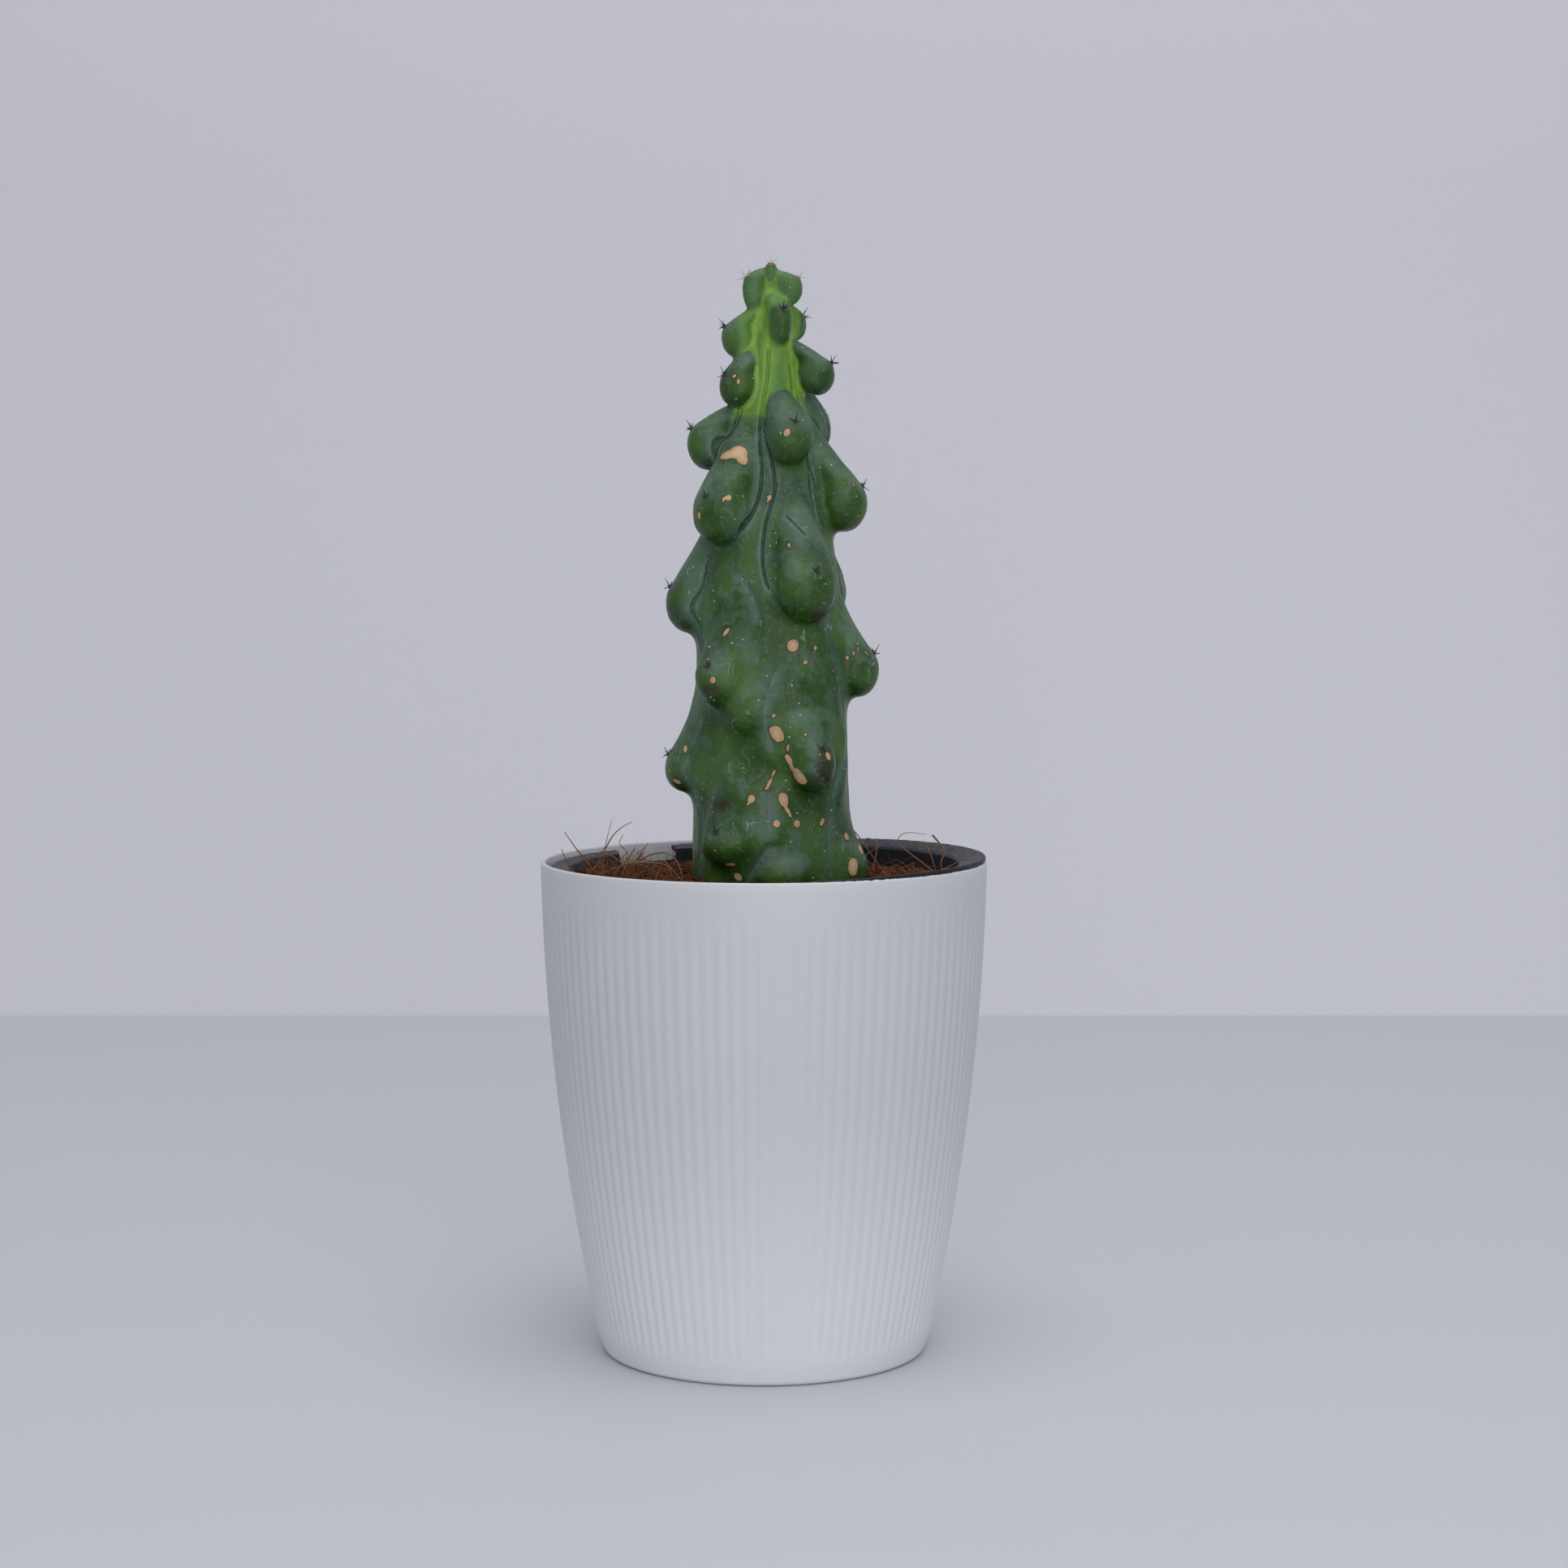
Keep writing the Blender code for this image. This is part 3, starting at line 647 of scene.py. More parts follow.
def growCore():
    bottom = plant["soil"] - plant["footDepth"]
    heights = [bottom + plant["footDepth"] * share for share in (0, 0.04, 0.12, 0.25, 0.45, 0.7)]
    tall = plant["top"] - plant["soil"]
    heights += [plant["soil"] + tall * i / plant["levels"] for i in range(plant["levels"] + 1)]
    core = turnedPiece("stemCore", [(coreRadius(z), z) for z in heights], plant["sides"])
    points = readPoints(core)
    azimuth, radius = roundCoordinates(points)
    nearSoil = np.exp(-(((points[:, 2] - plant["soil"] - 3 * mm) / (9 * mm)) ** 2))
    flare = sum(
        size * np.exp(-(((azimuth - math.radians(turn)) / wide) ** 2)) for turn, wide, size in flares
    )
    points[:, :2] *= (1 + flare * mm * nearSoil / np.maximum(radius, mm))[:, None]
    writePoints(core, points)
    core.location.x = plant["offset"]
    settle(core)
    return core


def swellingSections(swelling):
    # level sections from the lowest point up: height, inner and outer reach, half width
    _, depth, reach, hang, halfWidth, climb, hollow, _, _ = swelling
    areole = plant["top"] - depth * mm
    lift = plant["areoleLift"]
    halfHeight = hang * mm / (1 + math.sin(lift))
    ballHeight = areole - halfHeight * math.sin(lift)
    ballDepth = min(plant["ballDeep"] * reach * mm, plant["ballDeepest"] * halfHeight)
    ballMiddle = reach * mm - ballDepth
    areoleReach = ballMiddle + ballDepth * math.cos(lift)
    topReach = max(coreRadius(areole + climb * mm), 0.6 * mm)
    sections = []
    start = -0.475 * math.pi
    for i in range(plant["ballRings"] + 1):
        angle = start + (lift - start) * i / plant["ballRings"]
        roundPart = math.cos(angle)
        taper = roundPart**0.9 if angle < 0 else 1 - plant["ballTaper"] * math.sin(angle) ** 2
        width = halfWidth * mm * taper
        inner = ballMiddle - ballDepth * roundPart * plant["ballBack"]
        outer = ballMiddle + ballDepth * roundPart
        sections.append((ballHeight + halfHeight * math.sin(angle), inner, outer, width))
    _, lastInner, _, lastWidth = sections[-1]
    for i in range(1, plant["ridgeRings"] + 1):
        up = i / plant["ridgeRings"]
        outer = topReach + (areoleReach - topReach) * (1 - up) ** hollow
        inner = min(lastInner + (plant["ridgeBack"] * topReach - lastInner) * up, outer - mm)
        width = lastWidth * (1 - up**1.5) + plant["ridgeEnd"] * lastWidth * up
        sections.append((areole + climb * mm * up, inner, outer, width))
    return sections


def growSwelling(swelling):
    sections = swellingSections(swelling)
    deselectAll()
    bpy.ops.mesh.primitive_circle_add(vertices=plant["ringPoints"], radius=1, fill_type="NGON")
    grown = bpy.context.object
    startEditing()
    was = (0.0, 0.0, 1.0, 1.0)
    for number, (height, inner, outer, width) in enumerate(sections):
        middle, thick = (inner + outer) / 2, (outer - inner) / 2
        step = (0, -(middle - was[1]), height - was[0])
        if number:
            bpy.ops.mesh.extrude_region_move(TRANSFORM_OT_translate={"value": step})
        else:
            bpy.ops.transform.translate(value=step)
        bpy.ops.transform.resize(
            value=(width / was[2], thick / was[3], 1), center_override=(0, -middle, height)
        )
        was = (height, middle, width, thick)
    endEditing()
    grown.rotation_euler = (0, 0, math.radians(swelling[0]))
    grown.location.x = plant["offset"]
    settle(grown)
    return grown


def neighbourMean(piece):
    # a function that averages a value, or a set of points, over each point's neighbours
    ends = np.empty(len(piece.data.edges) * 2, np.int32)
    piece.data.edges.foreach_get("vertices", ends)
    first, second = ends.reshape(-1, 2).T
    total = len(piece.data.vertices)
    count = np.maximum(np.bincount(ends, minlength=total), 1)

    def mean(values):
        columns = values.reshape(total, -1).T
        sums = [
            np.bincount(first, column[second], total) + np.bincount(second, column[first], total)
            for column in columns
        ]
        return (np.stack(sums, 1) / count[:, None]).reshape(values.shape)

    return mean


def stemCoordinates(points):
    return roundCoordinates(points - [plant["offset"], 0, 0])


def turnFrom(start, turn):
    # degrees from one azimuth to another, the short way round
    return (turn - start + 180) % 360 - 180


def fillHollows(piece, weight, rounds):
    # only lets points move outwards, so creases fill up and round shapes stay as they are
    mean = neighbourMean(piece)
    points = readPoints(piece)
    for number in range(rounds):
        if number % plant["freshNormals"] == 0:
            writePoints(piece, points)
            normals = readNormals(piece)
        move = mean(points) - points
        outwards = (move * normals).sum(1) > 0
        points += plant["fillStep"] * move * (outwards * weight)[:, None]
    writePoints(piece, points)


def growPlant():
    grownFrom = [None] + [swelling for row in ribs.values() for swelling in row] + list(shoulders)
    parts = [growCore()] + [growSwelling(swelling) for swelling in grownFrom[1:]]
    owner = np.repeat(np.arange(len(parts)), [len(part.data.polygons) for part in parts])
    pick(*parts)
    bpy.ops.object.join()
    body = bpy.context.object
    body.name = "cactusBody"
    body.data.materials.clear()
    tree = surfaceTree(body)
    remesh = body.modifiers.new("growTogether", "REMESH")
    remesh.mode = "VOXEL"
    remesh.voxel_size = plant["voxel"]
    soften = body.modifiers.new("soften", "SMOOTH")
    soften.iterations = plant["softenRounds"]
    soften.factor = 0.5
    applyModifiers(body)
    body.data.shade_smooth()
    points = readPoints(body)
    nearest = np.array([owner[tree.find_nearest(Vector(point))[2]] for point in points])
    azimuth, _ = stemCoordinates(points)
    own = np.array([source or [0] * 9 for source in grownFrom])[nearest]
    toRight = turnFrom(own[:, 0], np.degrees(azimuth)) > 0
    melt = np.where(toRight, own[:, 8], own[:, 7])
    meltFrom, meltTo = plant["top"] - plant["meltFrom"], plant["top"] - plant["meltTo"]
    coreMelt = smoothStep(meltFrom, meltTo, points[:, 2])
    melt = np.where(nearest == 0, coreMelt, melt)
    mean = neighbourMean(body)
    for _ in range(plant["meltRounds"]):
        melt = mean(melt)
    fillHollows(body, melt, plant["fillRounds"])
    return body, nearest, grownFrom


plantBody, partOf, grownFrom = growPlant()
print("plant grown,", len(plantBody.data.vertices), "points")


# creases between the ribs: depth and width in mm, then azimuth in degrees and height over the soil in mm
creases = (
    (
        0.45, 0.5, (-6, 151), (-5, 141), (-6, 134), (-15, 125), (-15, 117), (-9, 111), (-10, 105),
        (-14, 100), (-23, 94), (-38, 87),
    ),
    (
        0.45, 0.5, (4, 136), (-9, 126), (-9, 120), (-3, 115), (3, 110), (6, 105), (0, 100), (-6, 95),
        (-8, 85), (-2, 78), (8, 73),
    ),
    (0.45, 0.9, (-30, 83), (-14, 76), (-8, 69)),
    (0.3, 0.55, (44, 141), (42, 132), (38, 125), (40, 119), (48, 110), (54, 105)),
    (
        0.4, 0.45, (52, 134), (54, 128), (50, 120), (44, 107), (46, 97), (42, 89), (44, 82), (46, 72),
        (52, 64),
    ),
    (
        0.35, 1, (50, 66), (56, 60), (62, 54), (66, 44), (66, 37), (54, 30), (50, 24), (46, 10),
        (44, 0),
    ),
    (0.35, 1, (8, 60), (0, 53), (-4, 47), (-3, 41), (2, 36)),
    (0.25, 1.20, (0, 26), (-1, 15)),
    (0.35, 1, (-16, 2), (-4, 9), (1, 12)),
    (0.25, 0.5, (-58, 128), (-63, 120), (-66, 115), (-66, 108)),
    (0.2, 0.5, (-50, 127), (-55, 119), (-60, 113)),
    (
        0.45, 0.8, (-71, 92), (-66, 86), (-66, 80), (-68, 74), (-70, 66), (-62, 60), (-50, 54),
        (-41, 48),
    ),
    (0.35, 0.9, (-62, 46), (-66, 40), (-68, 34), (-70, 24), (-60, 17), (-62, 8), (-62, 0)),
    (0.25, 0.7, (12, 98), (20, 95), (27, 92)),
    (0.3, 0.8, (22, 34), (30, 27), (42, 27)),
)


def roundOff(path):
    # cuts the corners of an open line, twice
    for _ in range(2):
        near = path[:-1] * 0.75 + path[1:] * 0.25
        far = path[:-1] * 0.25 + path[1:] * 0.75
        path = np.concatenate([path[:1], np.stack([near, far], 1).reshape(-1, 2), path[-1:]])
    return path


# valleys between ribs at the back, with the turn that brings the second rib's azimuth past the first's
valleys = (("right", "backRight", 0), ("backRight", "backLeft", 360), ("backLeft", "left", 0))
# lines down each valley: side, width in mm, first and last level
valleyLines = ((-1, 0.6, 9, 24), (1, 0.95, 0, 15), (-1, 1.0, 0, 7), (1, 0.65, 17, 24))

valley = dict(
    low=4, high=150, levels=24, deep=0.4, apart=5.5, sway=2.5, swayPitch=11, wander=2.2, wanderPitch=6.5,
)


def backCreases():
    made = []
    levels = np.linspace(valley["low"], valley["high"], valley["levels"])
    # the top's own level over the soil, about
    tall = 165
    for first, second, wrap in valleys:
        lines = []
        for name in (first, second):
            depths = [item[1] for item in ribs[name]]
            turns = [item[0] + (wrap if name == second else 0) for item in ribs[name]]
            lines.append(np.interp(tall - levels, depths, turns))
        middle = (lines[0] + lines[1]) / 2
        wander = valley["wander"] * np.sin(levels / valley["wanderPitch"] + 0.02 * middle)
        for side, wide, start, end in valleyLines:
            apart = valley["apart"] + valley["sway"] * np.sin(levels / valley["swayPitch"] + side)
            path = middle + (side * apart + wander)
            made.append((valley["deep"], wide) + tuple(zip(path[start:end], levels[start:end])))
    return made


def creaseDistance(points, crease):
    # distance in mm from each point to the line, measured on the unrolled surface, and the place along it
    azimuth, radius = stemCoordinates(points)
    path = roundOff(np.array(crease[2:], float))
    low, high = path[:, 1].min() - 6, path[:, 1].max() + 6
    level = (points[:, 2] - plant["soil"]) / mm
    near = np.flatnonzero((level > low) & (level < high))
    best = np.full(len(points), 99.0)
    along = np.zeros(len(points))
    across = radius[near] / mm
    turn = np.degrees(azimuth[near])
    for number in range(len(path) - 1):
        (startTurn, startLevel), (endTurn, endLevel) = path[number], path[number + 1]
        u = np.radians(turnFrom(startTurn, turn)) * across
        v = level[near] - startLevel
        du = math.radians(endTurn - startTurn) * across
        dv = endLevel - startLevel
        share = np.clip((u * du + v * dv) / (du**2 + dv**2 + 1e-9), 0, 1)
        distance = np.hypot(u - share * du, v - share * dv)
        closer = distance < best[near]
        best[near[closer]] = distance[closer]
        along[near[closer]] = (number + share[closer]) / (len(path) - 1)
    return best, along


# healed scars: azimuth in degrees, height over the soil, length and width in mm, and how many degrees
# the length leans to the right
scars = (
    (-33, 114.2, 4.2, 4.8, 20), (-41, 113.6, 6, 2.8, 80), (-28, 112.8, 4.6, 3, -20),
    (12, 119.1, 2.3, 1.7, 30), (50, 120.6, 3.4, 1.4, 65), (-45, 134.2, 1.3, 0.9, 40),
    (-40, 132.8, 1.5, 1.1, 0), (95, 131, 4, 1.2, 20), (-29, 102.2, 1.7, 1.7, 0),
    (-32, 101.6, 1.7, 0.6, 0), (-1, 102.3, 1.5, 1.4, 0), (-3, 101.2, 0.9, 0.6, 40),
    (-48, 97.6, 2.1, 1.2, 0), (-38, 98.4, 0.8, 0.5, 70), (-3, 109.1, 0.6, 0.6, 0),
    (4, 93.2, 1.4, 0.6, -65), (13, 89.8, 2.2, 0.8, -35), (70, 105.6, 1.2, 0.6, -60),
    (73, 97.5, 0.9, 0.7, 30), (17, 63.7, 3.4, 3.2, 20), (36, 62.9, 1.3, 1.2, 0),
    (26, 59.2, 1.5, 1.2, 60), (21, 61, 0.6, 0.5, 0), (-32, 67.1, 2.8, 1.1, 28),
    (-33, 54.8, 1.9, 1.7, -40), (-42, 63.3, 1.5, 0.8, 80), (-27, 79.6, 0.6, 0.6, 0),
    (-36, 50.2, 0.8, 0.7, 0), (69, 61.2, 1.6, 0.6, 20), (71, 62.4, 2.2, 0.6, -25),
    (75, 61.1, 2.2, 0.55, -35), (78, 58.3, 2.8, 0.55, 50), (67, 60, 1.2, 1, 0),
    (86, 68, 6.5, 0.9, -20), (4, 40.7, 4.9, 3.3, -35), (-13, 45.2, 1.4, 0.5, -60),
    (2, 45.4, 1.5, 1, 40), (11, 37, 2.4, 0.8, 5), (12, 33.8, 3.4, 1.7, -25),
    (14, 31.6, 2.6, 1.3, -35), (17, 29.4, 5.2, 3.5, -35), (32, 34.9, 2.4, 1.6, -15),
    (27, 35.4, 1, 0.6, 60), (2, 30.2, 2.6, 0.7, 25), (-1, 27.6, 3, 0.9, 30), (-3, 26.2, 1.6, 0.6, 70),
    (-13, 23.6, 2.2, 2, 0), (-15, 22.2, 1.2, 0.8, 30), (9, 23.2, 3.8, 2.6, -15),
    (12, 20.4, 3, 1.1, -30), (14, 19, 1.1, 0.9, 0), (4, 17.1, 2.1, 2.1, 0), (19, 16.8, 2, 1.9, 0),
    (40, 16.9, 2.4, 1.3, 28), (33, 16.1, 0.8, 0.6, 0), (21, 24, 0.5, 0.5, 0), (65, 12.4, 2.1, 2, 0),
    (78, 19.4, 2.1, 1.2, 0), (-71, 35.7, 2.2, 1.2, 0), (21, 40.5, 1, 0.9, 0), (-26, 6.2, 1.4, 2.6, 0),
    (-23, 2.8, 2, 2.6, 30), (8, 1.6, 1.1, 1, 0), (64, 4.4, 4.8, 3.4, 10), (77, 8.6, 3, 2.6, 40),
    (-75, 26.9, 2.6, 1.4, -70), (-57, 31.6, 0.7, 0.6, 0), (55, 56.6, 0.9, 0.7, 0),
    (42, 43.2, 0.7, 0.6, 0), (-62, 45.2, 0.7, 0.5, 0), (150, 96, 2.4, 1.8, 20),
    (132, 60, 3, 2.2, -30), (170, 44, 1.6, 1.5, 0), (-160, 72, 2.2, 1, 40), (-135, 28, 2.8, 2, 15),
    (-120, 88, 1.4, 1.2, 0), (160, 22, 1.8, 1.6, 0), (120, 30, 2, 0.9, -30),
)


# dark soft stains: azimuth in degrees, height over the soil, width and height in mm
stains = (
    (30, 31, 9, 11), (-34, 22, 9, 5), (-35, 52, 8, 5), (86, 131, 6, 3), (33, 71, 8, 5),
)


def stainMask(points):
    azimuth, radius = stemCoordinates(points)
    level = (points[:, 2] - plant["soil"]) / mm
    mask = np.zeros(len(points))
    for turn, height, wide, tall in stains:
        u = np.radians(turnFrom(turn, np.degrees(azimuth))) * radius / mm
        mask = np.maximum(mask, 1 - np.hypot(u / (wide / 2), (level - height) / (tall / 2)))
    return smoothStep(-0.1, 0.7, mask + 0.12 * lumps(points, 4 * mm, 61))


def skinPoint(tree, turn, height):
    # where a level line from outside, at that azimuth in degrees, first meets the skin
    way = Vector((math.sin(math.radians(turn)), -math.cos(math.radians(turn)), 0))
    axis = Vector((plant["offset"], 0, height))
    place, normal, _, _ = tree.ray_cast(axis + way * 60 * mm, -way)
    return place, normal


def scarDepth(points):
    # how far inside the nearest scar's outline each point lies, in mm, negative outside
    tree = surfaceTree(plantBody)
    depth = np.full(len(points), -9.0)
    for number, (turn, above, long, wide, lean) in enumerate(scars):
        place, normal = skinPoint(tree, turn, plant["soil"] + above * mm)
        if place is None:
            continue
        offset = (points - np.array(place)) / mm
        close = np.flatnonzero(np.abs(offset).max(1) < long + 3)
        side = np.array(Vector((0, 0, 1)).cross(normal).normalized())
        up = np.cross(np.array(normal), side)
        tilt = math.radians(lean)
        part = offset[close]
        u = part @ (side * math.cos(tilt) - up * math.sin(tilt))
        v = part @ (side * math.sin(tilt) + up * math.cos(tilt))
        ragged = 1 + 0.16 * lumps(part, 0.9 * max(wide, 1.2), number + 500)
        inside = (1 - np.hypot(u / (wide / 2), v / (long / 2)) * ragged) * wide / 2
        inside = np.where(np.abs(part @ np.array(normal)) < 2.5, inside, -9)
        depth[close] = np.maximum(depth[close], inside)
    return depth


# what the carving does to the skin, in mm unless it says otherwise
carve = dict(
    swell=0.16, ripple=0.06, lipShare=0.22, lipAway=2.1, bandWide=1.9, taper=7, scarRise=0.09,
    normalRounds=3, hollowRounds=14, hollow=(0.02, 0.22), young=(40.5, 42.5),
    ripeDepth=20, freshDepth=10, turning=(0.9, 0.73, 0.78), fresh=(0.6, 0.25, 0.62),
)
skinMasks = ("young", "scar", "gap", "band", "bloomAndLitTops", "under", "stain", "hollow")


def sculptPlant():
    points = readPoints(plantBody)
    normals = readNormals(plantBody)
    gap = np.full(len(points), 9.0)
    band = np.zeros(len(points))
    move = carve["swell"] * lumps(points, 9 * mm, 21) + carve["ripple"] * lumps(points, 3.2 * mm, 22)
    for crease in creases + tuple(backCreases()):
        distance, along = creaseDistance(points, crease)
        taper = np.clip(np.minimum(along, 1 - along) * carve["taper"], 0, 1)
        deep, wide = crease[:2]
        cut = np.exp(-((distance / wide) ** 2)) * taper
        lip = np.exp(-(((distance - carve["lipAway"] * wide) / wide) ** 2)) * taper
        move += -deep * cut + carve["lipShare"] * deep * lip
        # gap: distance to the nearest crease line, used for the painted shade drawn down each crease
        gap = np.minimum(gap, distance + 2.5 * (1 - taper) + 1.2 * max(0, wide - 0.6))
        band = np.maximum(band, np.exp(-((distance / carve["bandWide"]) ** 2)) * taper)
    points += normals * (move * mm)[:, None]
    writePoints(plantBody, points)
    scar = scarDepth(points)
    inScar = smoothStep(-0.2, 0.3, scar)
    points += readNormals(plantBody) * (inScar * carve["scarRise"] * mm)[:, None]
    writePoints(plantBody, points)
    normals = readNormals(plantBody)
    mean = neighbourMean(plantBody)
    for _ in range(carve["normalRounds"]):
        normals = mean(normals)
    normals /= np.linalg.norm(normals, axis=1)[:, None]
    # how deep each point lies in a hollow; the old skin is painted darker there as painted shade
    softened = points
    for _ in range(carve["hollowRounds"]):
        softened = mean(softened)
    hollow = smoothStep(*carve["hollow"], ((softened - points) * normals).sum(1) / mm)
    down = (plant["top"] - points[:, 2]) / mm
    _, radius = stemCoordinates(points)
    young = 1 - smoothStep(*carve["young"], down + 2.2 * lumps(points, 6 * mm, 31))
    for number, source in enumerate(grownFrom):
        if not source:
            continue
        mine = partOf == number
        depth, reach = source[1], source[2]
        if depth > carve["ripeDepth"]:
            young[mine] = 0.0
            continue
        share, low, high = carve["turning"] if depth > carve["freshDepth"] else carve["fresh"]
        young[mine] = 1 - share * smoothStep(low, high, radius[mine] / (reach * mm))
    young = mean(young)
    # paler on upward faces: the waxy bloom, and partly painted light on the tops that face the lamps
    bloomAndLitTops = smoothStep(-0.35, 0.75, normals[:, 2] + 0.22 * lumps(points, 11 * mm, 41))
    # darker on downward faces: painted shade under the swellings, and partly the deeper green of the skin
    # there
    under = smoothStep(0.05, 0.8, -normals[:, 2])
    stain = stainMask(points)
    for name, values in zip(skinMasks, (young, scar, gap, band, bloomAndLitTops, under, stain, hollow)):
        writeMask(plantBody, name, values)


def greenSkin():
    made, tree, shader = startMaterial("greenSkin", 0.45, 0.3)
    clouds = placed(tree, mottle, Coarse=85.0, Fine=420.0)
    flecks = placed(tree, speckle, Pitch=0.0029, Share=0.6, Radius=0.082)
    dots = placed(tree, speckle, Pitch=0.0014, Share=0.34, Radius=0.105)
    lines = placed(tree, scratch, Pitch=0.0045, Width=0.0045)
    patches = placed(tree, mottle, Coarse=190.0, Fine=760.0)
    flake = between(tree, patches.outputs["Cloud"], 0.44, 0.58)
    young, scar, gap, band, bloomAndLitTops, under, stain, hollow = (masked(tree, name) for name in skinMasks)
    cloud, grain = clouds.outputs["Cloud"], clouds.outputs["Grain"]
    deep = mixed(tree, between(tree, cloud, 0.35, 0.65), (0.018, 0.062, 0.006), (0.049, 0.123, 0.014))
    grey = mixed(tree, between(tree, cloud, 0.3, 0.7), (0.052, 0.102, 0.064), (0.108, 0.166, 0.134))
    worn = between(tree, plus(tree, grain, times(tree, cloud, 0.8)), 0.7, 0.94)
    worn = times(tree, worn, plus(tree, 0.62, times(tree, flake, 0.5)))
    broken = plus(tree, times(tree, grain, 0.5), times(tree, flake, 0.3))
    crisp = between(tree, plus(tree, times(tree, bloomAndLitTops, 0.8), broken), 0.74, 0.9)
    # pale powder over the old skin: partly the bloom, partly painted light on the upward faces
    powderAndLitTops = times(tree, plus(tree, times(tree, bloomAndLitTops, worn), times(tree, crisp, 0.7)), 0.53)
    old = mixed(tree, times(tree, powderAndLitTops, 0.9), deep, grey)
    # painted shade on the undersides, partly also their own deeper green
    old = laid(tree, old, under, 0.75, (0.012, 0.042, 0.003))
    old = laid(tree, old, band, 0.6, (0.075, 0.135, 0.108))
    # painted shade: darker green down in the hollows of the old skin
    old = laid(tree, old, hollow, 0.45, (0.03, 0.08, 0.022))
    old = laid(tree, old, stain, 0.8, (0.028, 0.02, 0.008))
    fresh = mixed(tree, between(tree, cloud, 0.35, 0.65), (0.06, 0.165, 0.03), (0.125, 0.265, 0.038))
    bright = maths(tree, "MAXIMUM", hollow, times(tree, band, 0.8))
    fresh = mixed(tree, bright, fresh, (0.2, 0.38, 0.048))
    fresh = laid(tree, fresh, powderAndLitTops, 0.25, (0.05, 0.14, 0.06))
    unripe = (0.058, 0.15, 0.052)
    # swellings near the tip are neither: bluish outside and bright where they meet
    halfWay = minus(tree, 1.0, times(tree, maths(tree, "ABSOLUTE", minus(tree, young, 0.4)), 4.0), True)
    skin = mixed(tree, young, old, fresh)
    skin = mixed(tree, times(tree, halfWay, 0.6), skin, mixed(tree, hollow, unripe, fresh))
    # painted shade: a thin dark line down the middle of each crease, dark green on old skin and mid green
    # on young
    crease = mixed(tree, young, (0.01, 0.04, 0.01), (0.09, 0.21, 0.02))
    drawn = between(tree, gap, 0.55, 0.2)
    # painted highlight: pale thin lines on the old skin along each side of the dark crease line
    beside = minus(tree, between(tree, gap, 1.3, 0.5), drawn)
    beside = times(tree, times(tree, beside, worn), minus(tree, 1.0, young))
    skin = laid(tree, skin, beside, 0.5, (0.15, 0.21, 0.19))
    skin = mixed(tree, times(tree, drawn, 0.7), skin, crease)
    rubbed = between(tree, patches.outputs["Grain"], 0.56, 0.66)
    skin = laid(tree, skin, rubbed, 0.16, (0.16, 0.24, 0.17))
    skin = laid(tree, skin, lines.outputs["Mask"], 0.5, (0.26, 0.34, 0.3))
    ripe = minus(tree, 1.0, times(tree, young, 0.85))
    specks = maths(tree, "MAXIMUM", times(tree, dots.outputs["Mask"], 0.45), flecks.outputs["Mask"])
    skin = laid(tree, skin, times(tree, specks, ripe), 0.75, (0.5, 0.55, 0.46))
    # cork over the scars, with a dark outline and a paler middle
    cork = mixed(tree, grain, (0.36, 0.21, 0.105), (0.62, 0.42, 0.235))
    inScar = between(tree, scar, -0.05, 0.07)
    edge = minus(tree, between(tree, scar, -0.3, -0.05), inScar)
    skin = laid(tree, skin, edge, 0.75, (0.03, 0.03, 0.01))
    cork = laid(tree, cork, between(tree, scar, 0.5, 1.2), 0.25, (0.8, 0.6, 0.4))
    skin = mixed(tree, inScar, skin, cork)
    tree.links.new(skin, shader.inputs["Base Color"])
    rough = plus(tree, times(tree, powderAndLitTops, 0.22), 0.36)
    tree.links.new(plus(tree, rough, times(tree, inScar, 0.2)), shader.inputs["Roughness"])
    relief = plus(tree, plus(tree, grain, inScar), times(tree, flake, 0.35))
    bumpFrom(tree, shader, minus(tree, relief, times(tree, drawn, 1.4)), 0.00022)
    shader.inputs["Subsurface Weight"].default_value = 0.06
    shader.inputs["Subsurface Radius"].default_value = (0.4, 1.0, 0.2)
    shader.inputs["Subsurface Scale"].default_value = 0.003
    return made


sculptPlant()
plantBody.data.materials.append(greenSkin())
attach(plantBody, "root")
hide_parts("cactus")
print("plant skin done")


# plant: wool and spines

tuft = dict(
    padWide=0.7 * mm, padThick=0.35 * mm, spineFoot=0.19 * mm, spinePoint=0.05 * mm, longest=3.3 * mm,
    youngPad=0.5, youngFoot=0.45, buried=0.2 * mm, upward=0.12, oldDepth=8, oldCount=(6, 8),
    youngCount=(5, 7), spread=(50, 84), middleSpread=12, length=(0.45, 0.8), middleLength=(0.75, 1.0),
)


def plainPaint(name, dark, light, roughness):
    made, tree, shader = startMaterial(name, roughness, 0.15)
    clouds = placed(tree, mottle, Coarse=500.0, Fine=2500.0)
    shade = mixed(tree, clouds.outputs["Grain"], dark, light)
    tree.links.new(shade, shader.inputs["Base Color"])
    return made


